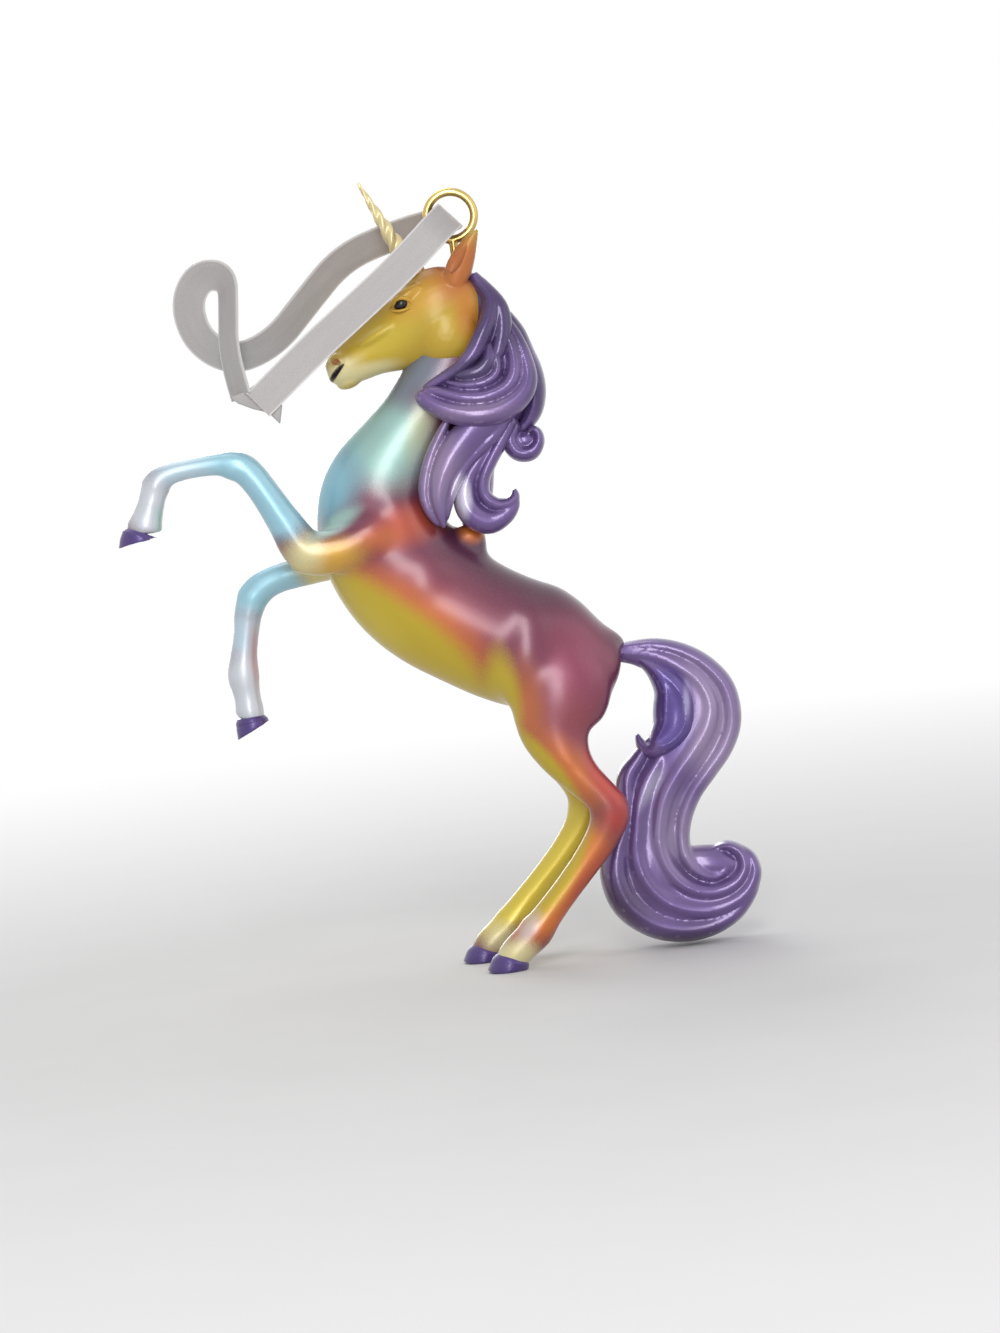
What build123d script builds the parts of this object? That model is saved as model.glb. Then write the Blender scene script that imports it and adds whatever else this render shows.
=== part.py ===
from build123d import *
import os
from math import cos, pi, radians, sin, tan

# Rearing unicorn figurine with a flat hanging ribbon. Millimetres, +Z up, the figure faces -X.
# The soles of the hind hooves and the tail's swirl stand on Z = 0. Near side is -Y, the figure's left.

# Trunk and neck
dock_reach = 26.0
hip_height = 42.0
trunk_run = 40.0
trunk_rise = 50.0
barrel_depth = 20.0
barrel_width = 15.0

# Head, ears, horn and eyes
head_length = 22.0
head_drop = 8.0
head_depth = 13.6
head_width = 8.8
ear_length = 6.4
ear_lean = 3.8
ear_spread = 2.6
ear_depth = 3.6
ear_width = 2.4
horn_length = 16.0
horn_lean = 7.6
horn_diameter = 3.6
horn_seat_depth = 2.0
eye_diameter = 2.2

# Legs and hooves
hind_leg_run = 10.0
hind_leg_spread = 6.0
thigh_depth = 15.0
thigh_width = 7.5
foreleg_run = 40.0
near_foreleg_rise = 14.0
far_foreleg_drop = 24.0
foreleg_spread = 6.0
upper_arm_depth = 8.0
upper_arm_width = 5.6
hoof_length = 5.8
hoof_width = 5.0
front_hoof_length = 5.0
front_hoof_width = 4.2
front_hoof_height = 2.7

# Mane
mane_run = 10.0
mane_drop = 20.0
crest_depth = 13.4
crest_width = 11.6
roll_depth = 6.8
roll_width = 5.6
roll_offset = 4.6
lock_depth = 6.4
lock_width = 4.6
lock_offset = 4.2
underlay_depth = 5.0
underlay_width = 7.4
hook_depth = 4.4
hook_width = 4.2
curl_depth = 3.8
curl_width = 4.4
back_lock_depth = 4.4
back_lock_width = 6.2

# Tail
tail_reach = 16.0
swirl_height = 14.6
swirl_length = 22.4
sweep_depth = 11.4
sweep_width = 7.0
crescent_depth = 6.0
crescent_width = 9.4
swirl_depth = 11.6
swirl_width = 8.4

# Hanger eye and ribbon
eye_wire = 1.2
eye_bore = 5.4
eye_rise = 14.0
eye_stem_depth = 1.0
ribbon_width = 4.5
ribbon_thickness = 0.4
tab_thickness = 1.3

# Facets round a limb, a lock and a fluted lock
limb_sides = 12
body_sides = 16
lock_sides = 10
flute_sides = 15
flute_count = 5
flute_share = 0.09
swirl_steps = 3
wire_sides = 10
wire_stretches = 24

# Places that several pieces share
side_axis = Vector(0, 1, 0)
dock = Vector(dock_reach, 0, hip_height)
hip_shares = (-0.225, 0.06)
shoulder_shares = (-0.66, 0.42)
withers_shares = (-0.555, 0.36)
poll_shares = (-0.425, 0.98)
crown_share = 0.40


def along_trunk(shares):
    """A place whose distances from the dock are shares of the trunk's run and rise."""
    return dock + Vector(shares[0] * trunk_run, 0, shares[1] * trunk_rise)


hip = along_trunk(hip_shares)
shoulder = along_trunk(shoulder_shares)
withers = along_trunk(withers_shares)
poll = along_trunk(poll_shares)
crown = poll + Vector(0, 0, crown_share * head_depth)
hanger = poll + Vector(0, 0, eye_rise)


def eased(rows, steps):
    """Rows with further rows between them, on a Catmull-Rom curve through every column."""
    ends = [rows[0]] + rows + [rows[-1]]
    eased_rows = []
    for before, start, end, after in zip(ends, ends[1:], ends[2:], ends[3:]):
        for step in range(steps):
            t = step / steps
            eased_rows.append(
                tuple(
                    0.5 * (2 * b + (c - a) * t + (2 * a - 5 * b + 4 * c - d) * t**2 + (3 * b - a - 3 * c + d) * t**3)
                    for a, b, c, d in zip(before, start, end, after)
                )
            )
    return eased_rows + [rows[-1]]


def ring(centre, along, depth, width, sides, flute=0.0, turn=0.0):
    """Points of an oval section square to its centre line, with raised flutes where asked."""
    side = (side_axis - along * side_axis.dot(along)).normalized()
    front = side.cross(along)
    points = []
    for number in range(sides):
        angle = 2 * pi * number / sides
        swell = 1 + flute * cos(flute_count * angle + turn)
        points.append(centre + front * (depth / 2 * swell * cos(angle)) + side * (width / 2 * swell * sin(angle)))
    return points


def skin(rings, closed=False):
    """Solid through rings of points, with end faces or closed on itself, two flat facets between neighbours."""
    if closed:
        chain = rings + rings[:1]
        facets = []
    else:
        chain = rings
        facets = [Face(Wire.make_polygon(rings[0])), Face(Wire.make_polygon(rings[-1]))]
    for lower, upper in zip(chain, chain[1:]):
        for number in range(len(lower)):
            follow = (number + 1) % len(lower)
            facets.append(Face(Wire.make_polygon([lower[number], lower[follow], upper[follow]])))
            facets.append(Face(Wire.make_polygon([lower[number], upper[follow], upper[number]])))
    return Solid(Shell(facets))


def limb(stations, sides, flute=0.0, steps=2):
    """Solid along stations of place, depth and width, each section square to the line."""
    rows = eased(stations, steps)
    centres = [Vector(*row[:3]) for row in rows]
    rings = []
    for number, (centre, row) in enumerate(zip(centres, rows)):
        ahead = centres[min(number + 1, len(rows) - 1)]
        behind = centres[max(number - 1, 0)]
        rings.append(ring(centre, (ahead - behind).normalized(), row[3], row[4], sides, flute))
    return skin(rings)


def stations(shares, start, run, rise, spread, depth, width):
    """Stations in millimetres from rows of shares of run, rise, spread, depth and width."""
    return [
        (
            start.X + along * run,
            start.Y + out * spread,
            start.Z + up * rise,
            deep * depth,
            wide * width,
        )
        for along, up, out, deep, wide in shares
    ]


def seated(form, neighbours):
    """The largest solid left of a form once its neighbours are cut out of it."""
    with BuildPart() as piece:
        add(form)
        for neighbour in neighbours:
            add(neighbour.part, mode=Mode.SUBTRACT)
    return piece.part.solids().sort_by(SortBy.VOLUME)[-1]


# Trunk: rump, barrel, chest and neck in one sweep from the dock to the poll
trunk_shares = [
    (0.00, 0.00, 0, 0.18, 0.28),
    (-0.03, 0.00, 0, 0.40, 0.54),
    (-0.07, 0.005, 0, 0.53, 0.72),
    (-0.135, 0.02, 0, 0.74, 0.88),
    (-0.23, 0.035, 0, 0.90, 0.96),
    (-0.325, 0.06, 0, 0.93, 0.98),
    (-0.41, 0.09, 0, 0.95, 1.00),
    (-0.51, 0.135, 0, 0.94, 1.00),
    (-0.61, 0.19, 0, 0.96, 0.99),
    (-0.695, 0.25, 0, 0.94, 0.97),
    (-0.755, 0.33, 0, 0.92, 0.93),
    (-0.785, 0.41, 0, 0.89, 0.86),
    (-0.785, 0.49, 0, 0.84, 0.77),
    (-0.75, 0.565, 0, 0.76, 0.69),
    (-0.685, 0.64, 0, 0.63, 0.62),
    (-0.615, 0.71, 0, 0.55, 0.56),
    (-0.55, 0.78, 0, 0.54, 0.53),
    (-0.495, 0.85, 0, 0.50, 0.50),
    (-0.45, 0.92, 0, 0.45, 0.47),
    (-0.425, 0.98, 0, 0.35, 0.38),
]
with BuildPart() as trunk:
    add(limb(stations(trunk_shares, dock, trunk_run, trunk_rise, 0, barrel_depth, barrel_width), body_sides))

# Head: jowl, cheek and a tapering muzzle
head_shares = [
    (0.09, 0.29, 0, 0.33, 0.50),
    (0.055, 0.25, 0, 0.70, 0.80),
    (-0.075, 0.15, 0, 0.95, 0.98),
    (-0.20, 0.01, 0, 1.00, 1.00),
    (-0.33, -0.125, 0, 0.88, 0.93),
    (-0.455, -0.25, 0, 0.72, 0.80),
    (-0.58, -0.39, 0, 0.575, 0.68),
    (-0.69, -0.55, 0, 0.46, 0.59),
    (-0.785, -0.675, 0, 0.37, 0.55),
    (-0.855, -0.74, 0, 0.26, 0.48),
    (-0.90, -0.75, 0, 0.12, 0.28),
]
head_form = limb(stations(head_shares, poll, head_length, head_drop, 0, head_depth, head_width), body_sides)
with BuildPart() as head:
    add(seated(head_form, [trunk]))

# Horn: a tapering cone with a spiral groove, its foot sunk into the brow
brow_shares = (-0.24, 0.42)
brow = poll + Vector(brow_shares[0] * head_length, 0, brow_shares[1] * head_depth)
horn_axis = Vector(-horn_lean, 0, horn_length).normalized()
horn_rings = 14
horn_twist = 4.4 * pi
horn_lobes = 3
horn_lobe_share = 0.16
horn_tip_share = 0.12


def horn_section(share):
    """Lobed section of the horn, turned and shrunk in step with its share of the length."""
    centre = brow + horn_axis * (share * (horn_length + horn_seat_depth) - horn_seat_depth)
    front = side_axis.cross(horn_axis)
    radius = horn_diameter / 2 * (1 - (1 - horn_tip_share) * share)
    points = []
    for number in range(limb_sides):
        angle = 2 * pi * number / limb_sides
        reach = radius * (1 + horn_lobe_share * cos(horn_lobes * angle - horn_twist * share))
        points.append(centre + front * (reach * cos(angle)) + side_axis * (reach * sin(angle)))
    return points


with BuildPart() as horn:
    add(seated(skin([horn_section(number / horn_rings) for number in range(horn_rings + 1)]), [head]))

# Ears: upright leaves behind the brow
ear_shares = [
    (-0.10, -0.12, 0.92, 0.80, 1.00),
    (0.10, 0.22, 1.00, 1.00, 0.95),
    (0.45, 0.55, 1.15, 0.72, 0.70),
    (0.80, 0.85, 1.30, 0.34, 0.40),
    (0.95, 0.96, 1.35, 0.10, 0.14),
]


def ear(side):
    """One ear on the side given by the sign."""
    rows = stations(ear_shares, crown, ear_lean, ear_length, side * ear_spread, ear_depth, ear_width)
    return seated(limb(rows, lock_sides), [head])


with BuildPart() as ear_near:
    add(ear(-1))

with BuildPart() as ear_far:
    add(ear(1))

# Eyes: low domes let into the cheeks
eye_shares = (-0.37, 0.19)
eye_out_share = 0.29
eye_place = poll + Vector(eye_shares[0] * head_length, 0, eye_shares[1] * head_depth)


def eyeball(side):
    """A ball sunk in the cheek so that its outer cap shows."""
    with BuildPart() as ball:
        with Locations(eye_place + side_axis * (side * eye_out_share * head_width)):
            Sphere(eye_diameter / 2)
    return seated(ball.part, [head])


with BuildPart() as eye_near:
    add(eyeball(-1))

with BuildPart() as eye_far:
    add(eyeball(1))

# Hind legs: thigh, gaskin, hock, cannon and fetlock, their heights as shares of the hip's
near_hind_shares = [
    (0.05, 1.02, 0.50, 0.60, 0.66),
    (-0.04, 0.92, 0.70, 0.93, 0.92),
    (-0.06, 0.82, 0.78, 0.99, 0.98),
    (-0.20, 0.73, 0.85, 0.74, 0.90),
    (-0.11, 0.66, 0.92, 0.50, 0.80),
    (0.12, 0.58, 0.95, 0.38, 0.67),
    (0.37, 0.512, 0.98, 0.33, 0.61),
    (0.48, 0.457, 1.00, 0.385, 0.58),
    (0.38, 0.395, 1.00, 0.33, 0.52),
    (0.13, 0.323, 1.00, 0.28, 0.48),
    (-0.19, 0.243, 1.00, 0.26, 0.47),
    (-0.51, 0.165, 1.00, 0.27, 0.48),
    (-0.72, 0.112, 1.00, 0.31, 0.56),
    (-0.88, 0.068, 1.00, 0.29, 0.56),
]
far_hind_shares = [
    (0.05, 1.02, 0.50, 0.60, 0.66),
    (-0.03, 0.92, 0.70, 0.93, 0.92),
    (-0.06, 0.82, 0.78, 0.97, 0.98),
    (-0.18, 0.735, 0.85, 0.73, 0.90),
    (-0.14, 0.66, 0.92, 0.50, 0.80),
    (0.03, 0.578, 0.95, 0.38, 0.67),
    (0.16, 0.509, 0.98, 0.33, 0.60),
    (0.20, 0.453, 1.00, 0.385, 0.57),
    (0.08, 0.391, 1.00, 0.33, 0.52),
    (-0.20, 0.316, 1.00, 0.28, 0.48),
    (-0.53, 0.240, 1.00, 0.26, 0.47),
    (-0.85, 0.167, 1.00, 0.27, 0.48),
    (-1.07, 0.112, 1.00, 0.31, 0.55),
    (-1.23, 0.068, 1.00, 0.29, 0.55),
]
hip_foot = Vector(hip.X, 0, 0)


def hind_leg(shares, side):
    """Stations of one hind leg on the side given by the sign."""
    return stations(shares, hip_foot, hind_leg_run, hip.Z, side * hind_leg_spread, thigh_depth, thigh_width)


near_hind_stations = hind_leg(near_hind_shares, -1)
far_hind_stations = hind_leg(far_hind_shares, 1)
with BuildPart() as hind_leg_near:
    add(seated(limb(near_hind_stations, limb_sides), [trunk]))

with BuildPart() as hind_leg_far:
    add(seated(limb(far_hind_stations, limb_sides), [trunk, hind_leg_near]))

# Forelegs: the near one lifted and folded, the far one lower and hanging from the knee
near_fore_shares = [
    (-0.01, 0.03, 0.22, 0.44, 0.44),
    (-0.06, 0.00, 0.56, 0.84, 0.86),
    (-0.14, -0.05, 0.80, 0.86, 1.00),
    (-0.20, -0.10, 0.87, 0.79, 1.00),
    (-0.27, -0.17, 0.91, 0.76, 0.94),
    (-0.385, -0.14, 0.97, 0.78, 0.86),
    (-0.45, 0.17, 1.00, 0.60, 0.79),
    (-0.505, 0.47, 1.02, 0.52, 0.71),
    (-0.55, 0.68, 1.03, 0.53, 0.68),
    (-0.59, 0.775, 1.03, 0.52, 0.70),
    (-0.655, 0.81, 1.03, 0.39, 0.59),
    (-0.74, 0.80, 1.03, 0.35, 0.54),
    (-0.82, 0.77, 1.03, 0.37, 0.55),
    (-0.87, 0.71, 1.03, 0.46, 0.61),
    (-0.895, 0.585, 1.03, 0.50, 0.62),
    (-0.918, 0.44, 1.03, 0.50, 0.61),
    (-0.938, 0.31, 1.03, 0.56, 0.66),
]
far_fore_shares = [
    (-0.01, -0.02, 0.22, 0.44, 0.44),
    (-0.07, -0.05, 0.56, 0.80, 0.86),
    (-0.14, -0.09, 0.78, 0.76, 0.96),
    (-0.22, -0.125, 0.84, 0.68, 0.90),
    (-0.32, -0.175, 0.89, 0.59, 0.83),
    (-0.42, -0.205, 0.92, 0.54, 0.75),
    (-0.52, -0.235, 0.94, 0.52, 0.69),
    (-0.59, -0.29, 0.95, 0.56, 0.69),
    (-0.627, -0.40, 0.95, 0.51, 0.64),
    (-0.645, -0.53, 0.95, 0.45, 0.59),
    (-0.662, -0.66, 0.95, 0.49, 0.61),
    (-0.672, -0.775, 0.95, 0.57, 0.66),
    (-0.668, -0.895, 0.95, 0.49, 0.61),
    (-0.665, -0.995, 0.95, 0.53, 0.65),
]
near_fore_stations = stations(
    near_fore_shares,
    shoulder,
    foreleg_run,
    near_foreleg_rise,
    -foreleg_spread,
    upper_arm_depth,
    upper_arm_width,
)
far_fore_stations = stations(
    far_fore_shares,
    shoulder,
    foreleg_run,
    far_foreleg_drop,
    foreleg_spread,
    upper_arm_depth,
    upper_arm_width,
)
with BuildPart() as foreleg_near:
    add(seated(limb(near_fore_stations, limb_sides), [trunk]))

with BuildPart() as foreleg_far:
    add(seated(limb(far_fore_stations, limb_sides), [trunk, foreleg_near]))

# Hooves: each flares from the pastern's last section to a flat sole
hoof_flare_share = 1.04
hoof_waist_share = 0.45


def hoof(leg_stations, sole, sole_axis, length, width):
    """A hoof from the end of a leg to a sole of the given place and axis."""
    last = leg_stations[-1]
    top = Vector(*last[:3])
    along = (top - Vector(*leg_stations[-2][:3])).normalized()
    waist = top + (sole - top) * hoof_waist_share
    mean_axis = (along + sole_axis).normalized()
    rings = [
        ring(top, along, last[3] * hoof_flare_share, last[4] * hoof_flare_share, limb_sides),
        ring(waist, mean_axis, (last[3] + length) / 2, (last[4] + width) / 2, limb_sides),
        ring(sole, sole_axis, length, width, limb_sides),
    ]
    return skin(rings)


down = Vector(0, 0, -1)
near_hind_top = Vector(*near_hind_stations[-1][:3])
far_hind_top = Vector(*far_hind_stations[-1][:3])
sole_lead_share = 0.52
near_hind_sole = Vector(near_hind_top.X - sole_lead_share * hoof_length, near_hind_top.Y, 0)
far_hind_sole = Vector(far_hind_top.X - sole_lead_share * hoof_length, far_hind_top.Y, 0)
with BuildPart() as hoof_hind_near:
    add(seated(hoof(near_hind_stations, near_hind_sole, down, hoof_length, hoof_width), [hind_leg_near]))

with BuildPart() as hoof_hind_far:
    add(seated(hoof(far_hind_stations, far_hind_sole, down, hoof_length, hoof_width), [hind_leg_far]))


def front_hoof(leg_stations, lead_share, height, tilt_shares):
    """A front hoof whose sole lies ahead of the leg's end and looks along the given shares of X and -Z."""
    top = Vector(*leg_stations[-1][:3])
    sole = top - Vector(lead_share * front_hoof_length, 0, height)
    axis = Vector(tilt_shares[0], 0, -tilt_shares[1]).normalized()
    return hoof(leg_stations, sole, axis, front_hoof_length, front_hoof_width)


near_hoof_lead_share = 0.26
near_hoof_tilt_shares = (0.17, 0.985)
far_hoof_lead_share = 0.02
far_hoof_tilt_shares = (0.45, 0.89)
with BuildPart() as hoof_fore_near:
    near_hoof_form = front_hoof(near_fore_stations, near_hoof_lead_share, front_hoof_height, near_hoof_tilt_shares)
    add(seated(near_hoof_form, [foreleg_near]))

with BuildPart() as hoof_fore_far:
    far_hoof_form = front_hoof(far_fore_stations, far_hoof_lead_share, front_hoof_height, far_hoof_tilt_shares)
    add(seated(far_hoof_form, [foreleg_far]))

# Tail: an inner crescent lock, the fluted sweep outside it and the swirl that it stands on
crescent_shares = [
    (0.20, 0.955, 0, 0.36, 0.52),
    (0.335, 0.925, 0, 0.56, 0.80),
    (0.41, 0.87, 0, 0.78, 0.95),
    (0.425, 0.80, 0, 0.94, 1.00),
    (0.385, 0.73, 0, 0.88, 0.96),
    (0.285, 0.68, 0, 0.74, 0.86),
    (0.175, 0.665, 0, 0.54, 0.66),
    (0.095, 0.685, 0, 0.34, 0.44),
    (0.065, 0.715, 0, 0.12, 0.20),
]
sweep_shares = [
    (-0.04, 0.998, 0, 0.28, 0.46),
    (0.09, 0.99, 0, 0.34, 0.56),
    (0.27, 0.97, 0, 0.47, 0.72),
    (0.46, 0.93, 0, 0.66, 0.86),
    (0.60, 0.865, 0, 0.84, 0.95),
    (0.635, 0.79, 0, 0.96, 1.00),
    (0.56, 0.705, 0, 1.00, 1.00),
    (0.42, 0.62, 0, 0.97, 1.00),
    (0.26, 0.54, 0, 0.86, 0.96),
    (0.15, 0.45, 0, 0.80, 0.94),
    (0.12, 0.365, 0, 0.84, 0.96),
    (0.11, 0.31, 0, 0.90, 0.98),
]
swirl_shares = [
    (0.09, 1.04, 0, 0.88, 0.80),
    (0.00, 0.72, 0, 0.98, 0.94),
    (0.035, 0.40, 0, 0.88, 1.00),
    (0.27, 0.28, 0, 0.74, 1.00),
    (0.48, 0.265, 0, 0.58, 0.94),
    (0.63, 0.42, 0, 0.42, 0.84),
    (0.66, 0.63, 0, 0.33, 0.74),
    (0.59, 0.79, 0, 0.26, 0.64),
    (0.495, 0.79, 0, 0.20, 0.54),
    (0.465, 0.69, 0, 0.13, 0.42),
    (0.50, 0.635, 0, 0.06, 0.26),
]
tail_foot = Vector(dock.X, 0, 0)
swirl_lead_share = 0.04
swirl_corner = tail_foot - Vector(swirl_lead_share * tail_reach, 0, 0)
crescent_stations = stations(crescent_shares, tail_foot, tail_reach, hip_height, 0, crescent_depth, crescent_width)
sweep_stations = stations(sweep_shares, tail_foot, tail_reach, hip_height, 0, sweep_depth, sweep_width)
swirl_stations = stations(swirl_shares, swirl_corner, swirl_length, swirl_height, 0, swirl_depth, swirl_width)
with BuildPart() as tail_crescent:
    add(seated(limb(crescent_stations, lock_sides), [trunk, hind_leg_near, hind_leg_far]))

with BuildPart() as tail_sweep:
    sweep_form = limb(sweep_stations, flute_sides, flute_share)
    add(seated(sweep_form, [trunk, tail_crescent, hind_leg_near, hind_leg_far]))

with BuildPart() as tail_swirl:
    swirl_form = limb(swirl_stations, flute_sides, flute_share, swirl_steps)
    add(seated(swirl_form, [tail_sweep, hind_leg_near, hind_leg_far]))
    split(bisect_by=Plane.XY, keep=Keep.TOP)

# Mane: each lock is cut by those it lies on
crest_shares = [
    (0.62, 1.82, 0, 0.18, 0.26),
    (0.74, 1.70, 0, 0.30, 0.46),
    (0.84, 1.55, 0, 0.41, 0.64),
    (0.89, 1.39, 0, 0.54, 0.80),
    (0.88, 1.22, 0, 0.72, 0.92),
    (0.84, 1.07, 0, 0.94, 1.00),
    (0.83, 0.95, 0, 1.00, 0.96),
    (0.84, 0.84, 0, 0.84, 0.84),
    (0.88, 0.76, 0, 0.52, 0.60),
]
back_lock_shares = [
    (1.00, 1.48, 0, 0.70, 0.76),
    (1.19, 1.31, 0, 0.88, 0.90),
    (1.29, 1.13, 0, 1.00, 1.00),
    (1.33, 0.97, 0, 0.94, 0.92),
    (1.29, 0.84, 0, 0.70, 0.74),
    (1.23, 0.77, 0, 0.30, 0.40),
]
roll_shares = [
    (1.34, 1.10, 0.50, 0.56, 0.70),
    (1.12, 1.02, 0.86, 0.86, 0.92),
    (0.78, 0.985, 1.00, 0.96, 1.00),
    (0.42, 0.985, 1.04, 1.00, 1.00),
    (0.10, 1.01, 1.04, 0.86, 0.90),
    (-0.10, 1.045, 1.00, 0.54, 0.62),
    (-0.20, 1.07, 0.96, 0.20, 0.30),
]
underlay_shares = [
    (0.62, 0.82, 0, 0.96, 0.94),
    (0.46, 0.66, 0, 1.00, 1.00),
    (0.34, 0.50, 0, 1.00, 1.00),
    (0.29, 0.33, 0, 1.00, 0.94),
    (0.35, 0.17, 0, 0.86, 0.80),
    (0.44, 0.06, 0, 0.54, 0.54),
    (0.49, 0.01, 0, 0.20, 0.24),
]
long_lock_shares = [
    (0.60, 0.89, 1.00, 0.80, 0.96),
    (0.36, 0.77, 1.06, 0.98, 1.00),
    (0.14, 0.63, 1.10, 1.00, 1.00),
    (-0.04, 0.475, 1.16, 0.86, 0.96),
    (-0.14, 0.32, 1.22, 0.64, 0.84),
    (-0.13, 0.195, 1.26, 0.40, 0.62),
    (-0.08, 0.115, 1.28, 0.14, 0.28),
]
hook_shares = [
    (0.94, 0.83, -0.60, 0.96, 0.96),
    (0.84, 0.70, -0.66, 0.86, 0.94),
    (0.68, 0.57, -0.72, 0.76, 0.90),
    (0.55, 0.46, -0.74, 0.70, 0.86),
    (0.51, 0.345, -0.74, 0.76, 0.86),
    (0.54, 0.235, -0.72, 0.90, 0.86),
    (0.68, 0.16, -0.70, 0.98, 0.84),
    (0.86, 0.185, -0.68, 0.68, 0.74),
    (0.95, 0.255, -0.66, 0.46, 0.60),
    (0.94, 0.315, -0.66, 0.28, 0.42),
    (0.90, 0.345, -0.66, 0.12, 0.22),
]
ball_curl_shares = [
    (0.90, 0.89, -0.30, 0.86, 0.96),
    (0.94, 0.77, -0.30, 0.84, 1.00),
    (1.02, 0.665, -0.30, 0.98, 1.00),
    (1.18, 0.61, -0.30, 0.94, 0.96),
    (1.335, 0.645, -0.30, 0.72, 0.86),
    (1.375, 0.715, -0.30, 0.46, 0.68),
    (1.31, 0.755, -0.30, 0.28, 0.50),
    (1.25, 0.745, -0.30, 0.12, 0.30),
]


def mane_lock(shares, offset, depth, width, sides, flute=0.0):
    """A lock of the mane, its places as shares of the mane's run and drop from the withers."""
    return limb(stations(shares, withers, mane_run, mane_drop, offset, depth, width), sides, flute)


with BuildPart() as mane_crest:
    crest_form = mane_lock(crest_shares, 0, crest_depth, crest_width, flute_sides, flute_share)
    add(seated(crest_form, [trunk, head, ear_near, ear_far]))

with BuildPart() as mane_back_lock:
    back_form = mane_lock(back_lock_shares, 0, back_lock_depth, back_lock_width, lock_sides)
    add(seated(back_form, [mane_crest]))

with BuildPart() as mane_roll:
    roll_form = mane_lock(roll_shares, -roll_offset, roll_depth, roll_width, flute_sides, flute_share)
    add(seated(roll_form, [trunk, head, mane_crest, mane_back_lock]))

with BuildPart() as mane_underlay:
    underlay_form = mane_lock(underlay_shares, 0, underlay_depth, underlay_width, lock_sides)
    add(seated(underlay_form, [trunk, mane_crest, mane_roll]))

near_neighbours = [trunk, mane_crest, mane_roll, mane_underlay]
with BuildPart() as mane_long_lock_near:
    near_lock_form = mane_lock(long_lock_shares, -lock_offset, lock_depth, lock_width, flute_sides, flute_share)
    add(seated(near_lock_form, near_neighbours))

with BuildPart() as mane_long_lock_far:
    far_lock_form = mane_lock(long_lock_shares, lock_offset, lock_depth, lock_width, flute_sides, flute_share)
    add(seated(far_lock_form, near_neighbours))

with BuildPart() as mane_hook_lock:
    hook_form = mane_lock(hook_shares, lock_offset, hook_depth, hook_width, lock_sides)
    add(seated(hook_form, near_neighbours + [mane_long_lock_near, mane_back_lock]))

with BuildPart() as mane_ball_curl:
    curl_form = mane_lock(ball_curl_shares, lock_offset, curl_depth, curl_width, lock_sides)
    add(seated(curl_form, near_neighbours + [mane_hook_lock, mane_back_lock]))

# Hanger: a wire eye on a stem screwed into the head between the ears
eye_radius = eye_bore / 2 + eye_wire / 2
stem_length = hanger.Z - eye_radius - crown.Z + eye_stem_depth


def eye_section(number):
    """One of the wire's sections round the eye, square to the circle that it follows."""
    angle = 2 * pi * number / wire_stretches
    outward = Vector(cos(angle), 0, sin(angle))
    along = Vector(-sin(angle), 0, cos(angle))
    return ring(hanger + outward * eye_radius, along, eye_wire, eye_wire, wire_sides)


with BuildPart() as hanger_eye:
    add(skin([eye_section(number) for number in range(wire_stretches)], closed=True))
    with BuildSketch(Plane.XY.offset(hanger.Z - eye_radius)):
        with Locations((hanger.X, hanger.Y)):
            RegularPolygon(eye_wire / 2, wire_sides)
    extrude(amount=-stem_length)
    add(head.part, mode=Mode.SUBTRACT)

# Ribbon: a flat band threaded through the eye, both ends sewn into a tab in front of the muzzle
ribbon_route = [
    (-18.6, -5.4, 83.0),
    (-12.6, -5.7, 88.0),
    (-5.6, -5.9, 93.1),
    (1.8, -5.8, 98.6),
    (9.0, -5.7, 105.0),
    (9.0, 5.7, 105.0),
    (0.8, 5.9, 103.6),
    (-6.8, 5.6, 101.2),
    (-12.4, 4.8, 95.6),
    (-17.4, 4.0, 90.4),
    (-23.4, 3.0, 88.4),
    (-27.9, 1.8, 91.6),
    (-29.0, 0.6, 97.0),
    (-26.4, -0.6, 100.8),
    (-22.6, -1.8, 100.0),
    (-22.9, -3.0, 95.4),
    (-23.6, -4.2, 89.0),
    (-22.4, -5.0, 83.2),
]
bend_share = 0.45
ribbon_step = 1.5


def bend_radii(route):
    """The radius at each corner: a share of its shorter run over the tangent of half its turn."""
    radii = []
    for before, corner, after in zip(route, route[1:], route[2:]):
        arriving = Vector(*corner) - Vector(*before)
        leaving = Vector(*after) - Vector(*corner)
        half_turn = arriving.get_angle(leaving) / 2
        radii.append(bend_share * min(arriving.length, leaving.length) / tan(radians(half_turn)))
    return radii


ribbon_radii = bend_radii(ribbon_route)
with BuildLine() as ribbon_path:
    FilletPolyline(*ribbon_route, radius=ribbon_radii)
ribbon_line = ribbon_path.wire()
ribbon_length = ribbon_line.length


def band(line, width, thickness, step):
    """Closed flat band along a line, its width carried along without any twist of its own."""
    count = round(line.length / step)
    across = (line % 0).cross(side_axis).normalized()
    rings = []
    for number in range(count + 1):
        share = number / count
        along = line % share
        across = (across - along * across.dot(along)).normalized()
        out = along.cross(across)
        place = line @ share
        corners = [(-1, -1), (1, -1), (1, 1), (-1, 1)]
        rings.append([place + across * (a * width / 2) + out * (b * thickness / 2) for a, b in corners])
    return skin(rings)


with BuildPart() as ribbon:
    add(band(ribbon_line, ribbon_width, ribbon_thickness, ribbon_step))
ribbon_section = ribbon_width * ribbon_thickness
print("ribbon length", round(ribbon_length, 1), "mm")
print("ribbon bend radii", [round(radius, 1) for radius in ribbon_radii], "mm")
print("ribbon volume over section times length", round(ribbon.part.volume / ribbon_section / ribbon_length, 3))

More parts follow.
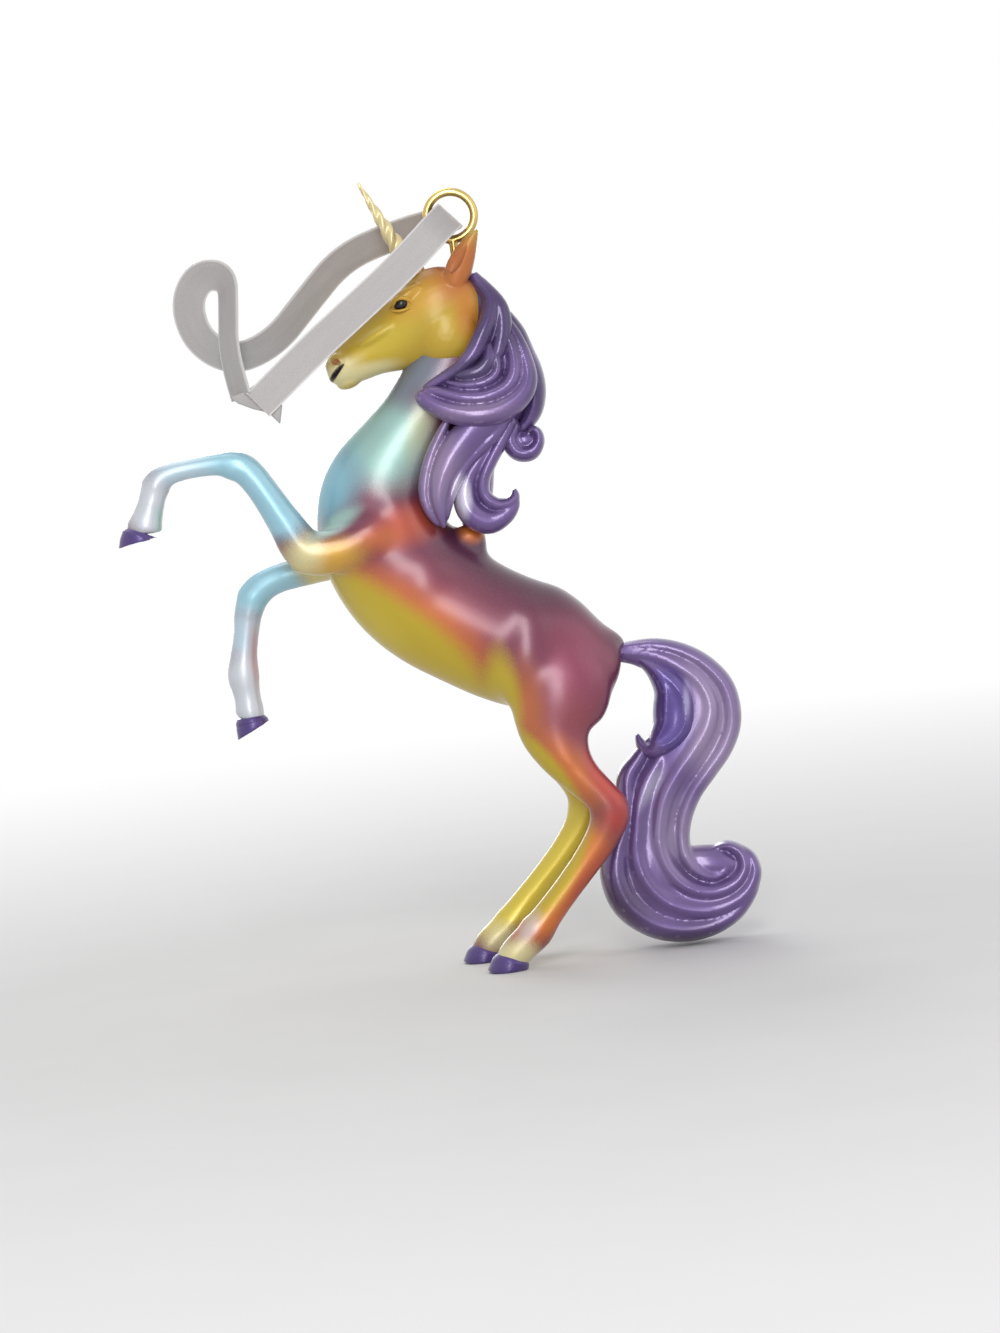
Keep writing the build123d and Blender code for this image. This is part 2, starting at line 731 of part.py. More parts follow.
# Tab: the sewn ends of the ribbon, with a pointed tail
tab_outline = [
    (-24.7, 83.2),
    (-23.4, 82.2),
    (-20.9, 81.3),
    (-18.9, 80.6),
    (-17.5, 78.9),
    (-16.9, 81.5),
    (-19.8, 85.0),
    (-21.4, 84.0),
]
tab_front = 5.85
with BuildPart() as ribbon_tab:
    with BuildSketch(Plane.XZ.offset(tab_front)):
        with BuildLine():
            Polyline(*tab_outline, close=True)
        make_face()
    extrude(amount=-tab_thickness)
    add(ribbon.part, mode=Mode.SUBTRACT)

sub_parts = {
    "trunk": trunk,
    "head": head,
    "horn": horn,
    "ear_near": ear_near,
    "ear_far": ear_far,
    "eye_near": eye_near,
    "eye_far": eye_far,
    "hind_leg_near": hind_leg_near,
    "hind_leg_far": hind_leg_far,
    "foreleg_near": foreleg_near,
    "foreleg_far": foreleg_far,
    "hoof_hind_near": hoof_hind_near,
    "hoof_hind_far": hoof_hind_far,
    "hoof_fore_near": hoof_fore_near,
    "hoof_fore_far": hoof_fore_far,
    "tail_crescent": tail_crescent,
    "tail_sweep": tail_sweep,
    "tail_swirl": tail_swirl,
    "mane_crest": mane_crest,
    "mane_back_lock": mane_back_lock,
    "mane_roll": mane_roll,
    "mane_underlay": mane_underlay,
    "mane_long_lock_near": mane_long_lock_near,
    "mane_long_lock_far": mane_long_lock_far,
    "mane_hook_lock": mane_hook_lock,
    "mane_ball_curl": mane_ball_curl,
    "hanger_eye": hanger_eye,
    "ribbon": ribbon,
    "ribbon_tab": ribbon_tab,
}
os.makedirs("parts", exist_ok=True)
for name, sub_part in sub_parts.items():
    sub_part.part.label = name
    export_step(sub_part.part, f"parts/{name}.step")
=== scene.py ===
"""Dresses a rearing unicorn figurine of pearly painted resin, hung by a flat satin ribbon.

All lengths are in metres. Tables of sections give millimetres, which MM turns into metres.
"""
import logging
from dataclasses import dataclass
from enum import Enum
from math import cos, pi, radians, sin
from typing import Sequence

import bmesh
import bpy
from mathutils import Matrix, Vector


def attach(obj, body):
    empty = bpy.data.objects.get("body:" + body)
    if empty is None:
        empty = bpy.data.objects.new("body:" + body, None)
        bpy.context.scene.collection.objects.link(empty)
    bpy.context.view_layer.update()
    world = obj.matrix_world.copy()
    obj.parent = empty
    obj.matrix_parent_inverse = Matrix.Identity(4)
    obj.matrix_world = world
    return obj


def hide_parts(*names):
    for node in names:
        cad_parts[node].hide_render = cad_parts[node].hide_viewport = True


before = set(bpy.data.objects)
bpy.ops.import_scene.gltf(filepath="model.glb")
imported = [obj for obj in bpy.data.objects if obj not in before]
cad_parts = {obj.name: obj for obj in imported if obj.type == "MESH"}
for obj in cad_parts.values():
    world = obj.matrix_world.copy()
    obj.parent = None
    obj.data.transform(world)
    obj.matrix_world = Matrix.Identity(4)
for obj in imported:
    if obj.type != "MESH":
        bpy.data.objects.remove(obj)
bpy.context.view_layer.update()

MM = 0.001
SHADE_ANGLE = radians(60)
SMOOTH_FACTOR = 0.5
BALL_DETAIL = 3
SWELL_DIGITS = 4
SIDE_AXIS = Vector((0.0, 1.0, 0.0))
BODY = "figurine"
RIBBON_BODY = "ribbon_loop"
LOG = logging.getLogger("figurine")

# A row is one section: x, y, z, depth and width.
Point = tuple[float, float, float]
Row = tuple[float, float, float, float, float]
Rows = tuple[Row, ...]
Colour = tuple[float, float, float, float]

WHITE: Colour = (1.0, 1.0, 1.0, 1.0)


class Side(Enum):
    """The figurine's two sides, with the sign of Y that each has."""

    NEAR = -1.0
    FAR = 1.0


def paint(red: int, green: int, blue: int) -> Colour:
    """A colour from screen values of 0 to 255.

    Args:
        red: Red value.
        green: Green value.
        blue: Blue value.

    Returns:
        The colour as linear light, with full alpha.
    """
    shares = [value / 255 for value in (red, green, blue)]
    return (*(v / 12.92 if v <= 0.04045 else ((v + 0.055) / 1.055) ** 2.4 for v in shares), 1.0)


def level(*rows: tuple[float, float, float, float]) -> Rows:
    """Rows written without their y, which is 0."""
    return tuple((row[0], 0.0, *row[1:]) for row in rows)


def side_of(rows: Rows, side: Side) -> Rows:
    """Rows written for the far side, placed on the given side."""
    return tuple((row[0], row[1] * side.value, *row[2:]) for row in rows)


def progress(value: float, start: float, reach: float) -> float:
    """How far a value has come on its way from start over the reach, from 0 to 1."""
    return min(max((value - start) / reach, 0.0), 1.0)


# Modelling helpers


def deselect_all() -> None:
    """Leaves object mode with nothing selected."""
    if bpy.context.object and bpy.context.object.mode != "OBJECT":
        bpy.ops.object.mode_set(mode="OBJECT")
    bpy.ops.object.select_all(action="DESELECT")


def make_active(piece: bpy.types.Object) -> None:
    """Selects one piece alone and makes it active.

    Args:
        piece: The piece to work on.
    """
    deselect_all()
    piece.select_set(True)
    bpy.context.view_layer.objects.active = piece


def edit_all(piece: bpy.types.Object) -> None:
    """Opens a piece in edit mode with its whole mesh selected.

    Args:
        piece: The piece to edit.
    """
    make_active(piece)
    bpy.ops.object.mode_set(mode="EDIT")
    bpy.ops.mesh.select_all(action="SELECT")


def apply_modifier(piece: bpy.types.Object, kind: str, **settings: object) -> None:
    """Adds a modifier to a piece and applies it.

    Args:
        piece: The piece to change.
        kind: Blender's name of the modifier's type.
        **settings: The modifier's own settings.
    """
    make_active(piece)
    modifier = piece.modifiers.new(kind.title(), kind)
    for name, value in settings.items():
        setattr(modifier, name, value)
    bpy.ops.object.modifier_apply(modifier=modifier.name)


def joined(pieces: Sequence[bpy.types.Object], name: str) -> bpy.types.Object:
    """Joins pieces into the first of them.

    Args:
        pieces: The pieces to join.
        name: The name of the result.

    Returns:
        The joined piece.
    """
    make_active(pieces[0])
    for piece in pieces:
        piece.select_set(True)
    bpy.ops.object.join()
    pieces[0].name = name
    return pieces[0]


def settled(piece: bpy.types.Object) -> bpy.types.Object:
    """Moves a piece's place into its mesh, with its faces pointing outwards.

    Args:
        piece: The piece to settle.

    Returns:
        The same piece, at the origin, unturned and unscaled.
    """
    make_active(piece)
    bpy.ops.object.transform_apply(location=True, rotation=True, scale=True)
    edit_all(piece)
    bpy.ops.mesh.normals_make_consistent(inside=False)
    bpy.ops.object.mode_set(mode="OBJECT")
    return piece


def between(a: float, b: float, c: float, d: float, t: float) -> float:
    """The value at the share t of the way from b to c, on a Catmull-Rom curve from a to d."""
    return 0.5 * (2 * b + (c - a) * t + (2 * a - 5 * b + 4 * c - d) * t**2 + (3 * b - a - 3 * c + d) * t**3)


def eased(rows: Sequence[Row], steps: int) -> list[Row]:
    """Adds rows between rows, on a Catmull-Rom curve through every column.

    Args:
        rows: The rows that the curve runs through.
        steps: How many rows each stretch is divided into.

    Returns:
        The longer list of rows.
    """
    ends = [rows[0], *rows, rows[-1]]
    result: list[Row] = []
    for before, start, end, after in zip(ends, ends[1:], ends[2:], ends[3:]):
        for step in range(steps):
            columns = zip(before, start, end, after)
            result.append(tuple(between(*values, step / steps) for values in columns))
    return [*result, rows[-1]]


@dataclass(frozen=True)
class Section:
    """One section of a sculpted form: its middle, its heading and its two breadths."""

    centre: Vector
    along: Vector
    depth: float
    width: float

    def axes(self) -> Matrix:
        """The turn that lays a flat circle into the section's plane.

        Returns:
            The turn.
        """
        side = (SIDE_AXIS - self.along * SIDE_AXIS.dot(self.along)).normalized()
        front = side.cross(self.along)
        return Matrix((front, side, self.along)).transposed()


def sections(rows: Sequence[Row], steps: int) -> list[Section]:
    """Sections square to the line through the rows.

    Args:
        rows: Rows of x, y, z, depth and width in millimetres.
        steps: How many sections each stretch between rows gets.

    Returns:
        The sections, in metres.
    """
    fine = eased(rows, steps)
    centres = [Vector(row[:3]) * MM for row in fine]
    result = []
    for number, row in enumerate(fine):
        ahead = centres[min(number + 1, len(fine) - 1)]
        behind = centres[max(number - 1, 0)]
        result.append(Section(centres[number], (ahead - behind).normalized(), row[3] * MM, row[4] * MM))
    return result


@dataclass(frozen=True)
class Flutes:
    """Raised ridges that run along a form."""

    count: int = 0
    share: float = 0.0

    def swell(self, number: int, sides: int) -> float:
        """How far out the numbered point of a section with so many sides stands, as a share."""
        return 1 + self.share * cos(2 * pi * self.count * number / sides) if self.count else 1.0


def edited_mesh() -> bmesh.types.BMesh:
    """The mesh that is in edit mode.

    Returns:
        The mesh, with its vertices numbered.
    """
    mesh = bmesh.from_edit_mesh(bpy.context.object.data)
    mesh.verts.ensure_lookup_table()
    return mesh


def add_ring(section: Section, sides: int, flutes: Flutes) -> None:
    """Adds a section's outline to the mesh in edit mode.

    Args:
        section: The section to add.
        sides: How many points the outline has.
        flutes: The ridges that the outline shows.
    """
    axes = section.axes()
    bpy.ops.mesh.primitive_circle_add(
        vertices=sides,
        radius=section.depth / 2,
        location=section.centre,
        rotation=axes.to_euler(),
    )
    bpy.ops.transform.resize(
        value=(1.0, section.width / section.depth, 1.0),
        orient_type="GLOBAL",
        orient_matrix=axes,
        orient_matrix_type="GLOBAL",
        center_override=section.centre,
    )
    if not flutes.count:
        return
    mesh = edited_mesh()
    ring = list(mesh.verts)[-sides:]
    swells = sorted({round(flutes.swell(number, sides), SWELL_DIGITS) for number in range(sides)})
    for swell in swells:
        bpy.ops.mesh.select_all(action="DESELECT")
        for number, vertex in enumerate(ring):
            vertex.select = round(flutes.swell(number, sides), SWELL_DIGITS) == swell
        mesh.select_flush(True)
        bmesh.update_edit_mesh(bpy.context.object.data)
        bpy.ops.transform.resize(value=(swell, swell, swell), center_override=section.centre)


def select_rings(first: int, second: int, sides: int) -> None:
    """Selects the edges of two neighbouring outlines.

    Args:
        first: Number of the first vertex of the first outline.
        second: Number of the first vertex of the second outline.
        sides: How many points each outline has.
    """
    mesh = edited_mesh()
    bpy.ops.mesh.select_all(action="DESELECT")
    for start in (first, second):
        for number in range(start, start + sides):
            mesh.verts[number].select = True
    for edge in mesh.edges:
        edge.select = edge.verts[0].select and edge.verts[1].select
    bmesh.update_edit_mesh(bpy.context.object.data)


def lofted(
    name: str, rows: Sequence[Row], sides: int, steps: int, flutes: Flutes = Flutes()
) -> bpy.types.Object:
    """A closed form through sections, made of outlines that are bridged one to the next.

    Args:
        name: The form's name.
        rows: Rows of x, y, z, depth and width in millimetres.
        sides: How many points each outline has.
        steps: How many sections each stretch between rows gets.
        flutes: Ridges along the form.

    Returns:
        The form, at the origin.
    """
    deselect_all()
    places = sections(rows, steps)
    bpy.ops.mesh.primitive_circle_add(vertices=3, radius=MM, location=(0, 0, 0))
    form = bpy.context.object
    form.name = name
    edit_all(form)
    bpy.ops.mesh.delete(type="VERT")
    bpy.ops.mesh.select_mode(type="VERT")
    for number, section in enumerate(places):
        add_ring(section, sides, flutes)
        if number in (0, len(places) - 1):
            select_rings(number * sides, number * sides, sides)
            bpy.ops.mesh.edge_face_add()
        if number:
            select_rings((number - 1) * sides, number * sides, sides)
            bpy.ops.mesh.bridge_edge_loops()
    bpy.ops.object.mode_set(mode="OBJECT")
    return settled(form)


def ball(name: str, place: Sequence[float], reach: Sequence[float], turn: float = 0.0) -> bpy.types.Object:
    """A swelling of muscle or bone: a rounded form of three reaches, turned about the side axis.

    Args:
        name: The form's name.
        place: Its middle, in millimetres.
        reach: Its half sizes, in millimetres.
        turn: Its turn about Y, in degrees.

    Returns:
        The form, at the origin.
    """
    deselect_all()
    bpy.ops.mesh.primitive_ico_sphere_add(subdivisions=BALL_DETAIL, radius=MM, location=Vector(place) * MM)
    form = bpy.context.object
    form.name = name
    form.scale = reach
    form.rotation_euler = (0.0, radians(turn), 0.0)
    return settled(form)


def reskinned(piece: bpy.types.Object, voxel: float, smoothing: int) -> None:
    """Lays one even skin over a piece and smooths it.

    Args:
        piece: The piece to cover.
        voxel: The size of the skin's facets, in metres.
        smoothing: How often the skin is smoothed.
    """
    apply_modifier(piece, "REMESH", mode="VOXEL", voxel_size=voxel, adaptivity=0.0)
    apply_modifier(piece, "SMOOTH", factor=SMOOTH_FACTOR, iterations=smoothing)


def fused(pieces: Sequence[bpy.types.Object], name: str, voxel: float, smoothing: int) -> bpy.types.Object:
    """One continuous skin over several overlapping forms, smoothed where they meet.

    Args:
        pieces: The forms that the skin covers.
        name: The name of the result.
        voxel: The size of the skin's facets, in metres.
        smoothing: How often the skin is smoothed.

    Returns:
        The skin.
    """
    skin = joined(pieces, name)
    reskinned(skin, voxel, smoothing)
    return skin


def carve(piece: bpy.types.Object, cutter: bpy.types.Object) -> None:
    """Cuts a form out of a piece and removes the form.

    Args:
        piece: The piece that is cut.
        cutter: The form that is cut out.
    """
    apply_modifier(piece, "BOOLEAN", operation="DIFFERENCE", solver="EXACT", object=cutter)
    bpy.data.objects.remove(cutter)


def cut_flat(piece: bpy.types.Object, place: Vector, facing: Vector) -> None:
    """Cuts a piece off flat and closes the cut.

    Args:
        piece: The piece to cut.
        place: A point of the cut, in metres.
        facing: The direction from the cut towards what is kept.
    """
    edit_all(piece)
    bpy.ops.mesh.bisect(plane_co=place, plane_no=facing, use_fill=True, clear_inner=True)
    bpy.ops.object.mode_set(mode="OBJECT")


def finished(piece: bpy.types.Object, material: bpy.types.Material, nodes: Sequence[str]) -> None:
    """Shades a piece, gives it its material and lets it stand for CAD nodes.

    Args:
        piece: The finished piece.
        material: Its material.
        nodes: The CAD nodes that it stands for.
    """
    make_active(piece)
    bpy.ops.object.shade_smooth_by_angle(angle=SHADE_ANGLE)
    piece.data.materials.clear()
    piece.data.materials.append(material)
    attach(piece, BODY)
    if nodes:
        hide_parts(*nodes)
    LOG.info("%s: %d faces", piece.name, len(piece.data.polygons))


# Material helpers


class NodeSheet:
    """A node tree with short ways to add nodes and join them."""

    def __init__(self, tree: bpy.types.NodeTree) -> None:
        """Keeps the tree that nodes are added to."""
        self.tree = tree

    def add(self, kind: str, links: dict[str | int, object] | None = None, **settings: object) -> bpy.types.Node:
        """Adds a node.

        Args:
            kind: Blender's type name of the node.
            links: What each named or numbered input takes: an output socket or a value.
            **settings: The node's own settings.

        Returns:
            The node.
        """
        node = self.tree.nodes.new(kind)
        for name, value in settings.items():
            setattr(node, name, value)
        self.join(node, links or {})
        return node

    def join(self, node: bpy.types.Node, links: dict[str | int, object]) -> None:
        """Links output sockets to a node's inputs, or sets plain values there.

        Args:
            node: The node whose inputs are filled.
            links: What each named or numbered input takes.
        """
        for name, value in links.items():
            if isinstance(value, bpy.types.NodeSocket):
                self.tree.links.new(value, node.inputs[name])
            else:
                node.inputs[name].default_value = value

    def math(self, operation: str, *values: object) -> bpy.types.NodeSocket:
        """The result of an operation on numbers or number sockets."""
        return self.add("ShaderNodeMath", dict(enumerate(values)), operation=operation).outputs[0]

    def ramp(self, value: bpy.types.NodeSocket, start: float, end: float) -> bpy.types.NodeSocket:
        """A mask that rises from 0 to 1 as the value goes from start to end."""
        return self.add("ShaderNodeMapRange", {"Value": value, "From Min": start, "From Max": end}).outputs[0]

    def noise(self, place: object, scale: object, detail: float) -> bpy.types.NodeSocket:
        """Noise about one half at a place."""
        return self.add("ShaderNodeTexNoise", {"Vector": place, "Scale": scale, "Detail": detail}).outputs["Fac"]

    def mix(self, factor: object, below: object, above: object) -> bpy.types.NodeSocket:
        """The upper colour laid over the lower one by the factor."""
        return self.add("ShaderNodeMix", {0: factor, 6: below, 7: above}, data_type="RGBA").outputs[2]


def new_group(name: str, inputs: dict[str, str], outputs: Sequence[str], kind: str) -> NodeSheet:
    """An empty node group with its sockets.

    Args:
        name: The group's name.
        inputs: The kind of each named input.
        outputs: The outputs' names.
        kind: The kind of every output.

    Returns:
        The group's sheet.
    """
    group = bpy.data.node_groups.new(name, "ShaderNodeTree")
    for label, given in inputs.items():
        group.interface.new_socket(label, in_out="INPUT", socket_type="NodeSocket" + given)
    for label in outputs:
        group.interface.new_socket(label, in_out="OUTPUT", socket_type="NodeSocket" + kind)
    return NodeSheet(group)


def new_material(name: str) -> tuple[bpy.types.Material, NodeSheet, bpy.types.Node]:
    """A new material with its sheet and its shader.

    Args:
        name: The material's name.

    Returns:
        The material, its sheet and its shader node.
    """
    material = bpy.data.materials.new(name)
    material.use_nodes = True
    return material, NodeSheet(material.node_tree), material.node_tree.nodes["Principled BSDF"]


def airbrush_group() -> bpy.types.NodeTree:
    """One pass of an airbrush: an oval cloud of paint over the colour below.

    Returns:
        The group, with the mixed colour as its output.
    """
    inputs = {"Below": "Color", "Paint": "Color", "Centre": "Vector", "Reach": "Vector"}
    inputs |= {label: "Float" for label in ("Turn", "Core", "Strength", "Mist")}
    sheet = new_group("airbrush_pass", inputs, ["Color"], "Color")
    given = sheet.add("NodeGroupInput").outputs
    place = sheet.add("ShaderNodeTexCoord").outputs["Object"]
    offset = sheet.add("ShaderNodeVectorMath", {0: place, 1: given["Centre"]}, operation="SUBTRACT").outputs[0]
    turn = {"Vector": offset, "Angle": given["Turn"]}
    turned = sheet.add("ShaderNodeVectorRotate", turn, rotation_type="Y_AXIS").outputs[0]
    scaled = sheet.add("ShaderNodeVectorMath", {0: turned, 1: given["Reach"]}, operation="DIVIDE").outputs[0]
    distance = sheet.add("ShaderNodeVectorMath", {0: scaled}, operation="LENGTH").outputs["Value"]
    fade = {"From Min": given["Core"], "From Max": 1.0, "To Min": 1.0, "To Max": 0.0}
    fade["Value"] = sheet.math("ADD", distance, given["Mist"])
    edge = sheet.add("ShaderNodeMapRange", fade, interpolation_type="SMOOTHSTEP").outputs[0]
    mask = sheet.math("MULTIPLY", edge, given["Strength"])
    sheet.add("NodeGroupOutput", {"Color": sheet.mix(mask, given["Below"], given["Paint"])})
    return sheet.tree


def grain_group() -> bpy.types.NodeTree:
    """The fine unevenness of sprayed pearl paint.

    Returns:
        The group, with a mist value about zero, a fleck mask for painted sparkle, a wear mask and a height.
    """
    sheet = new_group("spray_grain", {"Scale": "Float"}, ["Mist", "Flecks", "Wear", "Height"], "Float")
    given = sheet.add("NodeGroupInput").outputs
    place = sheet.add("ShaderNodeTexCoord").outputs["Object"]
    broad = sheet.noise(place, CLOUD_SCALE, 3.0)
    fine = sheet.noise(place, given["Scale"], 2.0)
    mist = sheet.math("MULTIPLY_ADD", broad, CLOUD_MIST, -CLOUD_MIST / 2)
    speck_mist = sheet.math("MULTIPLY_ADD", fine, SPECK_MIST, -SPECK_MIST / 2)
    coarse = sheet.math("MULTIPLY", broad, 1.0 - FINE_SHARE)
    results = {
        "Mist": sheet.math("ADD", mist, speck_mist),
        "Flecks": sheet.ramp(fine, *FLECK_RAMP),
        "Wear": sheet.ramp(broad, *WEAR_RAMP),
        "Height": sheet.math("ADD", sheet.math("MULTIPLY", fine, FINE_SHARE), coarse),
    }
    sheet.add("NodeGroupOutput", results)
    return sheet.tree


def edge_group() -> bpy.types.NodeTree:
    """Masks for painted shade in creases and painted highlight on ridges.

    Returns:
        The group, with a mask of painted shade in creases and a mask of painted highlight on ridges.
    """
    sheet = new_group("ridge_highlight_and_crease_shade", {"Sharpness": "Float"}, ["CreaseShade", "RidgeHighlight"], "Float")
    given = sheet.add("NodeGroupInput").outputs
    bend = sheet.add("ShaderNodeNewGeometry").outputs["Pointiness"]
    centred = sheet.math("MULTIPLY", sheet.math("SUBTRACT", bend, 0.5), given["Sharpness"])
    # Painted shade goes where the surface bends inwards, painted highlight where it bends outwards.
    crease_shade = sheet.ramp(centred, -EDGE_RAMP[0], -EDGE_RAMP[1])
    sheet.add("NodeGroupOutput", {"CreaseShade": crease_shade, "RidgeHighlight": sheet.ramp(centred, *EDGE_RAMP)})
    return sheet.tree


CLOUD_SCALE = 90.0
CLOUD_MIST = 0.12
SPECK_MIST = 0.2
FLECK_RAMP = (0.56, 0.72)
WEAR_RAMP = (0.3, 0.7)
EDGE_RAMP = (0.1, 1.0)
FINE_SHARE = 0.4
AIRBRUSH = airbrush_group()
GRAIN = grain_group()
EDGES = edge_group()


@dataclass(frozen=True)
class Pass:
    """One cloud of paint: its colour, middle, reaches and turn, in millimetres and degrees."""

    colour: Colour
    centre: Point
    reach: Point
    turn: float
    core: float
    strength: float = 1.0


@dataclass(frozen=True)
class PearlPaint:
    """Airbrushed pearl paint under a clear gloss coat, with painted shade and highlights."""

    name: str
    base: Colour
    passes: tuple[Pass, ...]
    # Painted shade colour for creases, and painted highlight colour for ridges, flecks and grazing faces.
    crease_shade: Colour = paint(60, 36, 60)
    glow: Colour = paint(236, 232, 240)
    roughness: float = 0.36
    metallic: float = 0.3
    specular: float = 0.3
    coat: float = 0.9
    coat_roughness: float = 0.24
    # Strength of the painted sheen at grazing angles, and of the painted sparkle on the pearl flecks.
    pearl: float = 0.05
    fleck: float = 0.03
    # Strengths of the painted shade in creases and of the painted highlight on ridges.
    crease_shade_strength: float = 0.55
    ridge_highlight_strength: float = 0.0
    grain: float = 0.12
    grain_scale: float = 5200.0
    grain_depth: float = 0.00012
    sharpness: float = 9.0
    facing_blend: float = 0.35
    wear: float = 0.08

    def sprayed(self, sheet: NodeSheet, mist: bpy.types.NodeSocket) -> object:
        """The base colour under every pass of the airbrush.

        Args:
            sheet: The material's sheet.
            mist: The unevenness of the clouds' edges.

        Returns:
            The colour, as a socket or a value.
        """
        colour: object = self.base
        for step in self.passes:
            links = {
                "Below": colour,
                "Paint": step.colour,
                "Centre": Vector(step.centre) * MM,
                "Reach": Vector(step.reach) * MM,
                "Turn": radians(step.turn),
                "Core": step.core,
                "Strength": step.strength,
                "Mist": mist,
            }
            colour = sheet.add("ShaderNodeGroup", links, node_tree=AIRBRUSH).outputs["Color"]
        return colour

    def build(self) -> bpy.types.Material:
        """Makes the material.

        Returns:
            The material, ready for a piece.
        """
        material, sheet, shader = new_material(self.name)
        grain = sheet.add("ShaderNodeGroup", {"Scale": self.grain_scale}, node_tree=GRAIN).outputs
        edges = sheet.add("ShaderNodeGroup", {"Sharpness": self.sharpness}, node_tree=EDGES).outputs
        facing = sheet.add("ShaderNodeLayerWeight", {"Blend": self.facing_blend}).outputs["Facing"]
        colour = self.sprayed(sheet, grain["Mist"])
        # Painted shade in creases, painted highlight on ridges, painted sparkle on flecks, painted sheen at
        # grazing angles.
        for mask, strength, tint in (
            (edges["CreaseShade"], self.crease_shade_strength, self.crease_shade),
            (edges["RidgeHighlight"], self.ridge_highlight_strength, self.glow),
            (grain["Flecks"], self.fleck, self.glow),
            (facing, self.pearl, self.glow),
        ):
            colour = sheet.mix(sheet.math("MULTIPLY", mask, strength), colour, tint)
        bumps = {"Strength": self.grain, "Distance": self.grain_depth, "Height": grain["Height"]}
        looks = {
            "Base Color": colour,
            "Roughness": sheet.math("MULTIPLY_ADD", grain["Wear"], self.wear, self.roughness),
            "Normal": sheet.add("ShaderNodeBump", bumps).outputs["Normal"],
            "Metallic": self.metallic,
            "Coat Weight": self.coat,
            "Coat Roughness": self.coat_roughness,
            "Specular IOR Level": self.specular,
        }
        sheet.join(shader, looks)
        return material


PLUM_DARK = paint(70, 22, 54)
PLUM = paint(106, 38, 66)
MAGENTA = paint(142, 54, 84)
ROSE = paint(150, 66, 76)
CRIMSON = paint(190, 62, 46)
RUST = paint(180, 76, 50)
ORANGE = paint(204, 112, 40)
BROWN = paint(184, 106, 46)
GOLD = paint(210, 160, 56)
OLIVE_YELLOW = paint(194, 168, 24)
YELLOW = paint(212, 190, 56)
CREAM = paint(222, 212, 160)
SAGE = paint(180, 184, 144)
MINT = paint(160, 196, 186)
TEAL = paint(132, 184, 200)
SKY = paint(152, 198, 214)
FROST = paint(184, 206, 218)
PEARL_WHITE = paint(202, 206, 214)
DUSTY_PINK = paint(190, 146, 152)
INK = paint(24, 18, 20)

